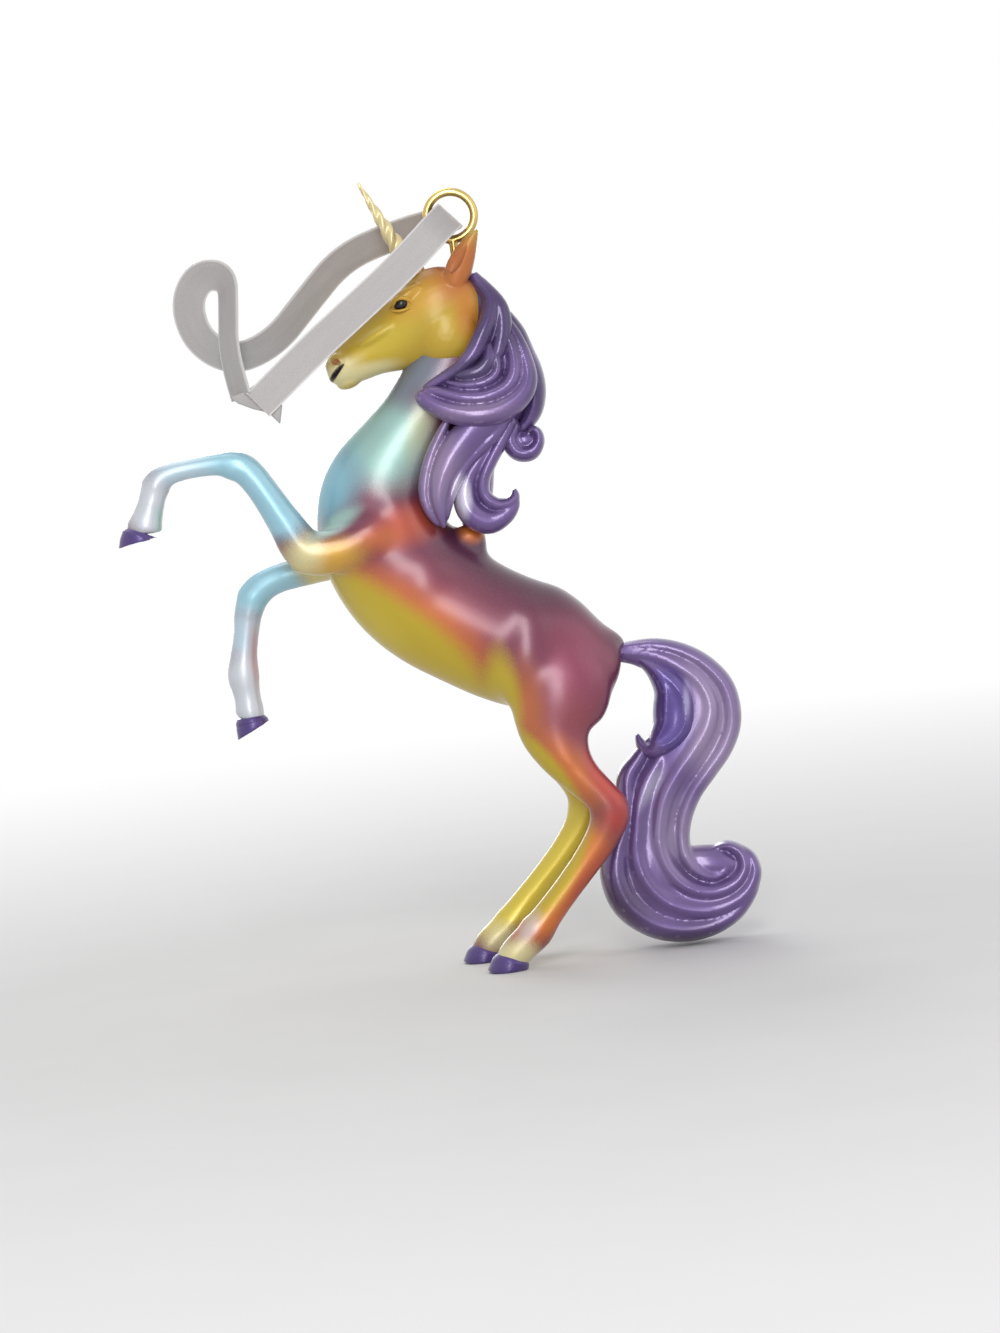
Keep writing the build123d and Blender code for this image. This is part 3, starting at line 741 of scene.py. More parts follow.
COAT = PearlPaint(
    "airbrushed_coat",
    PLUM,
    (
        Pass(PLUM_DARK, (13, 0, 57.5), (23, 20, 7.4), -33, 0.3),
        Pass(PLUM_DARK, (26.5, 0, 43), (8, 20, 3.8), -56, 0.2, 0.7),
        Pass(MAGENTA, (19.4, 0, 40.5), (8.4, 20, 11), 6, 0.25, 0.85),
        Pass(ROSE, (17.5, 0, 33), (7, 20, 8), 0, 0.2, 0.9),
        Pass(ROSE, (0.5, 0, 51.6), (20, 20, 7.4), -42, 0.2, 0.7),
        Pass(RUST, (-1, 0, 50.4), (19, 20, 6.6), -42, 0.2, 0.75),
        Pass(ORANGE, (-2, 0, 49.4), (19, 20, 6.2), -42, 0.4, 0.95),
        Pass(OLIVE_YELLOW, (-6.2, 0, 47.2), (23, 20, 8.2), -42, 0.62),
        Pass(YELLOW, (-8.0, 0, 49.6), (9, 20, 4.4), -46, 0.2, 0.5),
        Pass(ORANGE, (11.6, 0, 36), (4.8, 20, 11), 0, 0.2, 0.85),
        Pass(ORANGE, (16.6, 0, 26.6), (11, 20, 5.0), -56, 0.35, 0.95),
        Pass(OLIVE_YELLOW, (8.8, 0, 37.5), (3.7, 20, 10.5), 0, 0.45),
        Pass(RUST, (-2, 0, 63), (9, 20, 4.6), 14, 0.25),
        Pass(ORANGE, (-6.5, 0, 61.4), (6, 20, 3), 8, 0.1, 0.8),
        Pass(ROSE, (5, 0, 66.5), (4, 20, 5.5), 40, 0.1, 0.8),
        Pass(ORANGE, (7.2, 0, 61.4), (2.8, 20, 2.6), 0, 0.3, 0.9),
        Pass(paint(146, 184, 176), (-4.2, 0, 75.5), (9, 20, 10.5), 30, 0.4),
        Pass(TEAL, (-12, 0, 69.6), (9.6, 20, 6.6), 56, 0.25),
        # Painted shade: the upper neck's grey-blue is darkened under the head.
        Pass(paint(112, 124, 138), (1, 0, 85), (9, 20, 7), 40, 0.3, 0.9),
        Pass(ROSE, (3.4, 0, 71.6), (2.8, 20, 5.5), -20, 0.1, 0.6),
        Pass(SAGE, (1.6, 0, 76), (3, 20, 7), -24, 0.1, 0.7),
        Pass(GOLD, (-12, -6, 60), (6.4, 5.5, 3.8), 6, 0.3),
        Pass(CREAM, (-16.2, -6, 60.8), (4.6, 5.5, 4.6), 0, 0.3, 0.9),
        # Pale mint along the upper arm's top edge: partly the paint's mint, partly a painted highlight.
        Pass(MINT, (-11.6, -6, 64.4), (6, 5.5, 1.9), 26, 0.2, 0.9),
        Pass(SKY, (-20.4, -6, 68.8), (8.6, 5.5, 4.6), -58, 0.65),
        Pass(TEAL, (-19.2, -6, 67), (6, 5, 2), -60, 0.2, 0.5),
        Pass(SKY, (-26, -6, 74), (8, 5.5, 4.4), 0, 0.6),
        Pass(FROST, (-32, -6, 73.5), (7, 5.5, 4.4), 0, 0.3),
        Pass(PEARL_WHITE, (-36.6, -6, 69.4), (4.8, 5.5, 6.4), 0, 0.5),
        Pass(MINT, (-35.2, -6, 67), (1.6, 5.5, 4.4), 0, 0.2, 0.7),
        Pass(GOLD, (-9, 6, 59.8), (6, 5.5, 4), 6, 0.3),
        Pass(CREAM, (-14, 6, 58.4), (6, 5.5, 4), 0, 0.35),
        Pass(SKY, (-23, 6, 56.4), (8, 5.5, 4.6), 10, 0.6),
        Pass(FROST, (-26.2, 6, 50), (4.5, 5.5, 6), 0, 0.4),
        Pass(PEARL_WHITE, (-27, 6, 42), (4.5, 5.5, 8), 0, 0.6),
        Pass(DUSTY_PINK, (-24.8, 6, 46), (2.0, 5.5, 9), 4, 0.2, 0.85),
        Pass(OLIVE_YELLOW, (13.4, -6, 27.3), (10, 5.5, 3.0), -56, 0.5),
        Pass(CRIMSON, (21.8, -6, 25.0), (7.4, 5.5, 2.8), -62, 0.3, 0.95),
        Pass(ORANGE, (14, -6, 11), (14, 5.5, 4.6), 48, 0.6),
        Pass(CRIMSON, (22.6, -6, 19.6), (3.2, 5.5, 3.4), 0, 0.2, 0.8),
        Pass(RUST, (17.6, -6, 11.6), (11, 5.5, 1.9), 52, 0.2, 0.9),
        Pass(OLIVE_YELLOW, (13.6, -6, 12.1), (11, 5.5, 2.7), 52, 0.45, 0.95),
        Pass(PEARL_WHITE, (8.8, -6, 5.6), (4.4, 5.5, 1.8), 52, 0.2, 0.7),
        Pass(CREAM, (6.4, -6, 2.0), (5, 5.5, 3.4), 20, 0.5, 0.9),
        Pass(YELLOW, (11, 6, 16), (18, 5.5, 8), 50, 0.75),
        Pass(ORANGE, (19.6, 6, 22), (3, 5.5, 6), 40, 0.1, 0.7),
        Pass(CREAM, (4.4, 6, 3.4), (4, 5.5, 3), 40, 0.3, 0.85),
    ),
)
FACE = PearlPaint(
    "airbrushed_face",
    paint(188, 156, 40),
    (
        Pass(BROWN, (9, 0, 97.5), (8, 20, 6), 30, 0.35),
        Pass(ORANGE, (10, 0, 91), (3, 20, 6), 0, 0.1, 0.7),
        Pass(GOLD, (3, 0, 94), (7, 20, 3.6), 32, 0.2, 0.8),
        Pass(YELLOW, (-2, 0, 88.5), (7, 20, 4), 25, 0.2, 0.5),
        Pass(CREAM, (-9.5, 0, 84.6), (6, 20, 3), 20, 0.3, 0.9),
        Pass(CREAM, (-4.5, 0, 84.8), (6, 20, 1.8), 8, 0.3, 0.8),
        Pass(SAGE, (5, 0, 83.8), (5, 20, 2), 10, 0.2, 0.5),
        Pass(INK, (-9.3, 0, 84.9), (2.1, 20, 0.5), 48, 0.6, 0.97),
        Pass(BROWN, (-9.0, 0, 86.6), (0.9, 20, 0.5), 30, 0.5, 0.8),
    ),
    roughness=0.44,
    metallic=0.12,
    coat=0.5,
    coat_roughness=0.26,
)
HAIR = PearlPaint(
    "pearl_purple_hair",
    paint(106, 82, 139),
    (
        Pass(paint(150, 128, 162), (3.4, 0, 70), (5, 20, 10), -16, 0.2, 0.9),
        Pass(paint(136, 114, 150), (9, -6, 77.6), (9, 4, 2.4), 0, 0.2, 0.9),
        # Painted shade: dark purple in the hollow under the rolled lock.
        Pass(paint(58, 42, 88), (9.8, -5, 83.4), (5.4, 3.4, 2.4), 12, 0.4, 0.9),
        # Painted shade: dark purple over the top of the crest.
        Pass(paint(60, 38, 92), (14, 0, 90.5), (9, 20, 8), 0, 0.45, 0.95),
        Pass(paint(62, 42, 94), (19, 0, 79), (3.4, 20, 7), 0, 0.2, 0.9),
        Pass(paint(96, 72, 132), (16.4, 0, 72), (3.6, 20, 3), 0, 0.3, 0.9),
        # Painted highlight: near-white where the hooked lock meets the falling lock.
        Pass(paint(214, 208, 226), (6.2, -4, 66.4), (2.0, 4, 4.6), 0, 0.4, 0.95),
        Pass(paint(156, 136, 172), (36.5, 0, 31), (7, 20, 13), 14, 0.3, 0.9),
        Pass(paint(84, 62, 140), (31.6, 0, 33.6), (4.6, 20, 7.6), 0, 0.6, 0.95),
        # Painted highlight: a pale streak down the cupped lock's hollow.
        Pass(paint(200, 190, 228), (34.2, 0, 34.6), (0.8, 20, 4.0), -6, 0.1, 0.6),
        # Painted highlight: a pale streak along a tail strand.
        Pass(paint(206, 200, 224), (28.1, -4, 23.0), (1.5, 5, 4.8), -35, 0.1, 0.55),
        Pass(paint(146, 128, 164), (31, 0, 16), (6, 20, 9), 0, 0.2, 0.8),
        Pass(paint(66, 44, 84), (21.5, 0, 6), (8, 20, 9), 0, 0.2, 0.9),
        Pass(paint(62, 42, 80), (31, 0, 0.5), (14, 20, 4), 0, 0.2, 0.9),
    ),
    # Painted shade in the strands' grooves, and painted highlight on their ridges, flecks and grazing faces.
    crease_shade=paint(38, 24, 56),
    glow=paint(220, 210, 230),
    crease_shade_strength=0.85,
    ridge_highlight_strength=0.1,
    roughness=0.32,
    metallic=0.35,
    coat=0.8,
    coat_roughness=0.16,
    pearl=0.08,
)
HOOF = PearlPaint(
    "violet_hoof",
    paint(74, 52, 118),
    (Pass(paint(52, 34, 88), (0, 0, 0), (40, 20, 1.6), 0, 0.1, 0.7),),
    # Painted shade in the hooves' creases, and a painted sheen at grazing angles.
    crease_shade=paint(34, 22, 60),
    roughness=0.4,
    coat=0.5,
    pearl=0.15,
)
HORN = PearlPaint(
    "pale_gold_horn",
    paint(222, 204, 150),
    (Pass(paint(198, 130, 60), (4, 0, 96.5), (4, 20, 4), 0, 0.2, 0.9),),
    # Painted shade in the grooves of the twist.
    crease_shade=paint(150, 104, 60),
    metallic=0.45,
)
EYE = PearlPaint(
    "black_eye",
    paint(18, 14, 16),
    (Pass(paint(70, 44, 30), (0.6, 0, 94.2), (0.8, 20, 0.6), 0, 0.1, 0.7),),
    # Painted shade in the eye's inward bends.
    crease_shade=paint(10, 8, 8),
    roughness=0.3,
    metallic=0.0,
    coat=0.35,
    coat_roughness=0.06,
    pearl=0.0,
    fleck=0.0,
)
WIRE = PearlPaint(
    "plated_wire",
    paint(206, 178, 112),
    (Pass(paint(176, 140, 78), (9, 0, 100), (6, 20, 3), 0, 0.2, 0.8),),
    crease_shade=paint(96, 70, 36),
    roughness=0.22,
    metallic=1.0,
    coat=0.1,
    pearl=0.0,
    fleck=0.0,
    crease_shade_strength=0.0,
    grain=0.0,
)


@dataclass(frozen=True)
class Satin:
    """Woven satin ribbon: fine cross threads, a bound edge and a soft sheen."""

    name: str = "silver_satin"
    thread: Colour = paint(208, 203, 202)
    shade: Colour = paint(140, 136, 138)
    edge: Colour = paint(212, 208, 208)
    threads_per_metre: float = 16000.0
    edge_start: float = 0.00195
    edge_fade: float = 0.00015
    streaks: Point = (900.0, 120.0, 1.0)
    frost_scale: float = 5200.0
    frost_share: float = 0.5
    weave_share: float = 0.2
    streak_share: float = 0.3
    roughness: float = 0.32
    roughness_shift: float = 0.2
    relief: float = 0.35
    relief_depth: float = 0.00008
    sheen: float = 0.4
    sheen_roughness: float = 0.35

    def build(self) -> bpy.types.Material:
        """Makes the material, which reads the band's own UV map.

        Returns:
            The material.
        """
        material, sheet, shader = new_material(self.name)
        uv = sheet.add("ShaderNodeTexCoord").outputs["UV"]
        across, along, _ = sheet.add("ShaderNodeSeparateXYZ", {"Vector": uv}).outputs
        weft = sheet.math("SINE", sheet.math("MULTIPLY", along, self.threads_per_metre * 2))
        warp = sheet.math("SINE", sheet.math("MULTIPLY", across, self.threads_per_metre))
        weave = sheet.math("MULTIPLY_ADD", sheet.math("MULTIPLY", weft, warp), 0.5, 0.5)
        stretched = sheet.add("ShaderNodeMapping", {"Vector": uv, "Scale": self.streaks}).outputs[0]
        streak = sheet.noise(stretched, 1.0, 4.0)
        frost = sheet.noise(uv, self.frost_scale, 2.0)
        woven = sheet.math("MULTIPLY", weave, self.weave_share)
        soft = sheet.math("MULTIPLY_ADD", frost, self.frost_share, woven)
        mixed = sheet.math("MULTIPLY_ADD", streak, self.streak_share, soft)
        cloth = sheet.mix(mixed, self.shade, self.thread)
        border = sheet.ramp(sheet.math("ABSOLUTE", across), self.edge_start, self.edge_start + self.edge_fade)
        bumps = {"Strength": self.relief, "Distance": self.relief_depth, "Height": mixed}
        looks = {
            "Base Color": sheet.mix(border, cloth, self.edge),
            "Roughness": sheet.math("MULTIPLY_ADD", streak, self.roughness_shift, self.roughness),
            "Normal": sheet.add("ShaderNodeBump", bumps).outputs["Normal"],
            "Sheen Weight": self.sheen,
            "Sheen Roughness": self.sheen_roughness,
        }
        sheet.join(shader, looks)
        return material


# The figurine's sculpted masses


@dataclass
class Coat:
    """Trunk, neck and legs: one smooth skin over swept limbs and muscles.

    The flesh, which is smoothed most, sets in over a reach of x and of z.
    """

    trunk: Rows = level(
        (26.6, 42.6, 2.2, 2.8), (25.2, 42.9, 4.8, 5.6), (23.4, 42.8, 8.6, 9.2), (20.7, 42.9, 13.4, 12.4),
        (16.8, 43.5, 17.4, 14.4), (13, 44.6, 18.2, 14.8), (9.6, 46.1, 18.4, 15), (5.6, 48.5, 18.5, 15),
        (1.6, 51.4, 19.1, 14.8), (-1.8, 54.5, 18.9, 14.6), (-4.2, 58.5, 18.6, 14.2), (-5.4, 62.5, 18, 13.1),
        (-5.4, 66.5, 17, 11.8), (-4, 70.2, 15.4, 10.5), (-1.4, 74, 12.8, 9.4), (1.4, 77.5, 11.2, 8.5),
        (4, 81, 11, 8), (6.2, 84.5, 10.1, 7.5), (8, 88, 9, 7), (9, 91, 7, 5.7),
    )
    hind_near: Rows = (
        (17.5, -3, 45.9, 9, 5), (16.7, -4.2, 41.4, 14.6, 7.2), (16.6, -4.6, 37.2, 14.8, 7.5),
        (15.6, -4.9, 33, 11.4, 6.8), (16.2, -5.4, 29.6, 8, 5.9), (18.2, -5.7, 26.1, 5.8, 5),
        (20.7, -5.9, 23, 5, 4.5), (21.8, -6, 20.6, 5.7, 4.3), (20.8, -6, 17.8, 5, 3.9),
        (18.3, -6, 14.5, 4.3, 3.6), (15.1, -6, 10.9, 4, 3.5), (11.9, -6, 7.4, 4.2, 3.7), (9.9, -6, 5.1, 4.9, 4.3),
        (8.5, -6, 3.9, 4.7, 4.3), (7.3, -6, 3, 4.6, 4.3), (6.5, -6, 2.2, 4.6, 4.3), (6.1, -6, 1.5, 4.6, 4.2),
        (6, -6, 0.9, 4.4, 4),
    )
    hind_far: Rows = (
        (17.5, 3, 45.9, 9, 5), (16.8, 4.2, 41.4, 14.6, 7.2), (16.6, 4.6, 37.2, 14.8, 7.5),
        (15.5, 4.9, 33.1, 11.2, 6.8), (15.8, 5.4, 29.7, 8, 5.9), (17.3, 5.7, 26, 5.8, 5),
        (18.6, 5.9, 22.9, 5, 4.5), (19, 6, 20.4, 5.7, 4.3), (17.8, 6, 17.6, 5, 3.9), (15, 6, 14.2, 4.3, 3.6),
        (11.7, 6, 10.8, 4, 3.5), (8.5, 6, 7.5, 4.2, 3.7), (6.4, 6, 5.1, 4.8, 4.2), (5, 6, 3.9, 4.6, 4.2),
        (3.8, 6, 3, 4.5, 4.3), (3, 6, 2.2, 4.5, 4.3), (2.6, 6, 1.5, 4.5, 4.2), (2.5, 6, 0.9, 4.3, 4),
    )
    fore_near: Rows = (
        (-0.8, -1.3, 63.4, 4.2, 3.2), (-2.8, -3.4, 63, 6.9, 5), (-6, -4.8, 62.3, 7, 5.6),
        (-8.4, -5.2, 61.6, 6.4, 5.6), (-11.2, -5.5, 60.7, 6.2, 5.3), (-15.8, -5.8, 61, 6.2, 4.8),
        (-18.4, -6, 65.4, 4.9, 4.5), (-20.6, -6.1, 69.6, 4.3, 4.1), (-22.4, -6.2, 72.5, 4.3, 3.9),
        (-24, -6.2, 73.8, 4.2, 3.9), (-26.6, -6.2, 74.3, 3.2, 3.3), (-30, -6.2, 74.2, 2.9, 3),
        (-33.2, -6.2, 73.8, 3.1, 3.1), (-35.2, -6.2, 72.9, 3.7, 3.4), (-35.9, -6.2, 71.3, 3.8, 3.4),
        (-36.5, -6.2, 69.6, 3.9, 3.5), (-37.1, -6.2, 68.1, 4.4, 3.7), (-37.5, -6.2, 67.1, 5, 3.9),
        (-37.6, -6.2, 66.5, 5.2, 3.9), (-37.6, -6.2, 65.9, 4.8, 3.6),
    )
    fore_far: Rows = (
        (-0.8, 1.3, 62.5, 4.2, 3.2), (-3.2, 3.4, 61.8, 6.6, 5), (-6, 4.7, 60.8, 6.2, 5.5),
        (-9.2, 5, 60, 5.5, 5.1), (-13.2, 5.3, 58.8, 4.8, 4.7), (-17.2, 5.5, 58.1, 4.4, 4.2),
        (-21.2, 5.6, 57.4, 4.3, 3.9), (-24, 5.7, 56, 4.6, 3.9), (-25.5, 5.7, 53.4, 4.2, 3.6),
        (-26.2, 5.7, 50.3, 3.7, 3.4), (-26.9, 5.7, 47.2, 3.9, 3.4), (-27.3, 5.7, 44.4, 4.6, 3.8),
        (-27.1, 5.7, 41.5, 3.9, 3.4), (-27, 5.7, 39, 4.2, 3.6), (-27.1, 5.7, 38.3, 4.1, 3.5),
        (-27.4, 5.7, 37.7, 3, 2.6),
    )
    steps: int = 4
    voxel: float = 0.00033
    smoothing: int = 22
    flesh_smoothing: int = 80
    flesh_from: tuple[float, float] = (-13.0, 26.0)
    flesh_reach: tuple[float, float] = (5.0, 6.0)

    def muscles(self, side: Side) -> list[bpy.types.Object]:
        """The swellings that one side of the trunk has.

        Args:
            side: The side to build.

        Returns:
            The swellings.
        """
        y = side.value
        return [
            ball("haunch", (12.8, 4.4 * y, 43.4), (5.2, 3.8, 8.2), 8),
            ball("buttock", (21.9, 2.6 * y, 38.7), (3.0, 2.8, 6.0), 35),
            ball("shoulder_blade", (-3.2, 3.6 * y, 62.5), (4.6, 3.2, 7.0), -12),
            ball("breast", (-9.6, 2.2 * y, 62.8), (4.2, 3.0, 5.6), -10),
            ball("barrel", (-0.6, 3.2 * y, 54.6), (7.0, 4.4, 6.4), 40),
            ball("withers", (6.5, 0.8 * y, 59.4), (2.6, 2.2, 3.4), 20),
        ]

    def joints(self) -> list[bpy.types.Object]:
        """The bony swellings of elbows, knees, hocks and fetlocks.

        Returns:
            The swellings.
        """
        return [
            ball("elbow_near", (-15.9, -5.7, 60.2), (2.7, 2.2, 2.3), -20),
            ball("knee_near", (-24.3, -6.2, 73.6), (2.2, 2.0, 1.7), -20),
            ball("fetlock_fore_near", (-35.5, -6.2, 72.2), (2.1, 1.8, 2.1)),
            ball("knee_far", (-24.8, 5.7, 55.2), (2.3, 2.0, 2.3), 30),
            ball("fetlock_fore_far", (-27.4, 5.7, 44.0), (2.3, 1.9, 2.0)),
            ball("gaskin_near", (16.3, -5.7, 30.3), (3.8, 2.5, 4.2), 20),
            ball("hock_near", (22.6, -5.9, 21.5), (1.9, 1.9, 2.7), -20),
            ball("fetlock_hind_near", (9.9, -6.0, 5.3), (2.5, 2.2, 1.9), 40),
            ball("gaskin_far", (15.9, 5.7, 30.2), (3.8, 2.5, 4.2), 10),
            ball("hock_far", (19.8, 5.9, 21.3), (1.9, 1.9, 2.7), -20),
            ball("fetlock_hind_far", (6.4, 6.0, 5.3), (2.4, 2.1, 1.9), 40),
        ]

    def build(self, material: bpy.types.Material) -> None:
        """Builds and dresses the skin.

        Args:
            material: The coat's paint.
        """
        limbs = (("trunk", 40), ("hind_near", 24), ("hind_far", 24), ("fore_near", 24), ("fore_far", 24))
        forms = [lofted(name + "_form", getattr(self, name), sides, self.steps) for name, sides in limbs]
        forms += self.muscles(Side.NEAR) + self.muscles(Side.FAR) + self.joints()
        skin = fused(forms, "coat_skin", self.voxel, self.smoothing)
        self.soften(skin)
        nodes = ("trunk", "hind_leg_near", "hind_leg_far", "foreleg_near", "foreleg_far")
        finished(skin, material, nodes)

    def soften(self, skin: bpy.types.Object) -> None:
        """Smooths the fleshy trunk and thighs more than the thin legs.

        Args:
            skin: The coat's skin.
        """
        flesh = skin.vertex_groups.new(name="flesh")
        (start_x, start_z), (reach_x, reach_z) = self.flesh_from, self.flesh_reach
        for vertex in skin.data.vertices:
            x, _, z = vertex.co / MM
            weight = progress(z, start_z, reach_z) * progress(x, start_x, reach_x)
            flesh.add([vertex.index], weight, "REPLACE")
        apply_modifier(skin, "SMOOTH", factor=SMOOTH_FACTOR, iterations=self.flesh_smoothing, vertex_group="flesh")


@dataclass
class Head:
    """Head with cheeks, brow, nostrils, mouth and two cupped ears."""

    skull: Rows = level(
        (12, 93.6, 4, 3.8), (10.4, 93.1, 9.2, 6.6), (7.3, 92.2, 12.8, 8.2), (4.6, 91.1, 13.2, 8.4),
        (1.7, 90, 11.6, 7.4), (-1, 89, 9.6, 6.2), (-3.8, 87.9, 7.7, 5.2), (-6.2, 86.7, 6.4, 4.8),
        (-8.2, 85.8, 5.3, 4.7), (-9.5, 85.4, 4.2, 4.2), (-10.4, 85.2, 2.4, 2.8),
    )
    ear: Rows = (
        (8.5, 2.3, 95.4, 3, 2.6), (9.3, 2.6, 97.4, 3.7, 2.5), (10.6, 3, 99.8, 2.9, 1.9),
        (11.8, 3.3, 101.6, 1.4, 1.1), (12.5, 3.5, 102.5, 0.4, 0.4),
    )
    hollow: Rows = (
        (8, 3.6, 97, 0.8, 0.8), (8.8, 3.9, 98.2, 1.9, 1.2), (10.2, 4.2, 100, 1.4, 1),
        (11.3, 4.3, 101.3, 0.5, 0.5),
    )
    mouth: Rows = (
        (-11.4, 2.3, 83.5, 0.5, 1.9), (-10.2, 2.3, 84.1, 0.55, 2), (-9.2, 2.4, 84.9, 0.55, 2),
        (-8.3, 2.5, 85.8, 0.42, 1.9), (-7.9, 2.6, 86.2, 0.12, 1.7),
    )
    voxel: float = 0.0002
    smoothing: int = 8

    def build(self, material: bpy.types.Material) -> None:
        """Builds and dresses the head.

        Args:
            material: The face's paint.
        """
        forms = [lofted("skull_form", self.skull, sides=32, steps=4)]
        for side in Side:
            y = side.value
            forms += [
                ball("cheek", (6.6, 2.3 * y, 88.8), (4.4, 2.2, 4.4)),
                ball("brow", (1.6, 2.7 * y, 94.6), (2.7, 1.2, 1.0), -28),
                ball("cheek_bone", (-1.6, 2.3 * y, 90.2), (4.6, 1.0, 0.9), -24),
                ball("nostril_rim", (-8.5, 1.7 * y, 86.6), (1.5, 0.8, 1.2), 20),
                ball("upper_lip", (-9.0, 1.2 * y, 85.4), (1.5, 1.2, 0.9)),
            ]
            forms.append(lofted("ear_form", side_of(self.ear, side), sides=20, steps=4))
        forms.append(ball("chin", (-7.4, 0.0, 83.9), (2.0, 1.5, 1.1), -20))
        head = fused(forms, "head_skin", self.voxel, self.smoothing)
        for side in Side:
            y = side.value
            carve(head, lofted("mouth_cut", side_of(self.mouth, side), sides=12, steps=3))
            carve(head, lofted("ear_hollow", side_of(self.hollow, side), sides=16, steps=3))
            carve(head, ball("nostril_cut", (-9.0, 2.6 * y, 86.6), (0.8, 0.7, 0.45), 30))
            carve(head, ball("socket_cut", (0.9, 4.1 * y, 93.4), (1.6, 0.8, 1.0), -20))
        finished(head, material, ("head", "ear_near", "ear_far"))


@dataclass
class Eyes:
    """Two dark glossy eyes with a lid over and under each."""

    place: Point = (0.9, 3.0, 93.5)
    reach: Point = (1.1, 0.75, 0.9)
    turn: float = -20.0
    upper_lid: Rows = (
        (-0.8, 3, 93.1, 0.3, 0.4), (-0.3, 3.5, 93.8, 0.55, 0.6), (0.7, 3.7, 94.35, 0.7, 0.7),
        (1.8, 3.6, 94.1, 0.6, 0.6), (2.6, 3.4, 93.3, 0.3, 0.4),
    )
    lower_lid: Rows = (
        (-0.7, 3.1, 92.9, 0.3, 0.3), (0.1, 3.6, 92.6, 0.4, 0.45), (1.1, 3.75, 92.6, 0.4, 0.45),
        (2.2, 3.6, 92.9, 0.3, 0.3),
    )

    def build(self, eye_paint: bpy.types.Material, lid_paint: bpy.types.Material) -> None:
        """Builds and dresses both eyes and their lids.

        Args:
            eye_paint: The eyeball's paint.
            lid_paint: The lids' paint.
        """
        x, y, z = self.place
        for side, label in ((Side.NEAR, "near"), (Side.FAR, "far")):
            eyeball = ball("eyeball_" + label, (x, y * side.value, z), self.reach, self.turn)
            finished(eyeball, eye_paint, ("eye_" + label,))
            tables = enumerate((self.upper_lid, self.lower_lid))
            lids = [lofted(f"lid_{number}", side_of(rows, side), sides=12, steps=4) for number, rows in tables]
            finished(joined(lids, "eyelids_" + label), lid_paint, ())


@dataclass
class Horn:
    """Spiral horn: a tapering lobed cone, twisted along its length."""

    foot: Point = (4.2, 0.0, 95.2)
    length: float = 17.4
    lean: float = -0.4434
    diameter: float = 3.5
    taper: float = 0.9
    lobes: int = 3
    sides_per_lobe: int = 12
    lobe_share: float = 0.17
    turns: float = 2.4
    stretches: int = 60

    def build(self, material: bpy.types.Material) -> None:
        """Builds and dresses the horn.

        Args:
            material: The horn's paint.
        """
        shares = [number / self.stretches for number in range(self.stretches + 1)]
        breadths = [self.diameter * (1 - self.taper * share) for share in shares]
        rows = [(0.0, 0.0, share * self.length, b, b) for share, b in zip(shares, breadths)]
        sides = self.lobes * self.sides_per_lobe
        horn = lofted("twisted_horn", rows, sides, 1, Flutes(self.lobes, self.lobe_share))
        apply_modifier(horn, "SIMPLE_DEFORM", deform_method="TWIST", deform_axis="Z", angle=self.turns * 2 * pi)
        horn.location = Vector(self.foot) * MM
        horn.rotation_euler = (0.0, self.lean, 0.0)
        finished(settled(horn), material, ("horn",))


@dataclass
class Hooves:
    """Four small hooves, each flaring from a raised band to a flat sole."""

    hind_near: Rows = (
        (6.1, -6, 2, 4.2, 4), (5.95, -6, 1.5, 4.95, 4.6), (5.85, -6, 1.2, 5.1, 4.7), (5.6, -6, 0.6, 5.4, 4.85),
        (5.2, -6, -0.5, 5.7, 4.95),
    )
    hind_far: Rows = (
        (2.6, 6, 2, 4.1, 3.9), (2.45, 6, 1.5, 4.85, 4.5), (2.35, 6, 1.2, 5, 4.6), (2.1, 6, 0.6, 5.3, 4.8),
        (1.7, 6, -0.5, 5.6, 4.95),
    )
    fore_near: Rows = (
        (-38.1, -6.2, 66.2, 4.2, 3.6), (-38.3, -6.2, 65.75, 5, 4.15), (-38.4, -6.2, 65.5, 5.2, 4.25),
        (-38.5, -6.2, 65, 5.6, 4.3), (-38.7, -6.2, 63.2, 6, 4.4),
    )
    fore_far: Rows = (
        (-27, 5.7, 38.4, 3.8, 3.4), (-26.95, 5.7, 37.9, 4.5, 3.9), (-26.9, 5.7, 37.6, 4.6, 3.9),
        (-26.8, 5.7, 37, 4.8, 4.1), (-26.6, 5.7, 34.6, 5, 4.2),
    )
    soles: tuple[tuple[str, Point, Point], ...] = (
        ("hind_near", (0.0, 0.0, 0.1), (0.0, 0.0, 1.0)),
        ("hind_far", (0.0, 0.0, 0.1), (0.0, 0.0, 1.0)),
        ("fore_near", (-41.5, 0.0, 64.35), (-0.18, 0.0, 0.98)),
        ("fore_far", (-29.0, 0.0, 35.4), (-0.44, 0.0, 0.9)),
    )
    rounding: float = 0.00016
    rounding_angle: float = radians(50)

    def build(self, material: bpy.types.Material) -> None:
        """Builds and dresses the hooves, each cut off flat at its sole.

        Args:
            material: The hooves' paint.
        """
        edges = {"segments": 2, "limit_method": "ANGLE", "angle_limit": self.rounding_angle}
        for label, place, facing in self.soles:
            hoof = lofted("hoof_shell_" + label, getattr(self, label), sides=28, steps=4)
            cut_flat(hoof, Vector(place) * MM, Vector(facing))
            apply_modifier(hoof, "BEVEL", width=self.rounding, **edges)
            finished(hoof, material, ("hoof_" + label,))


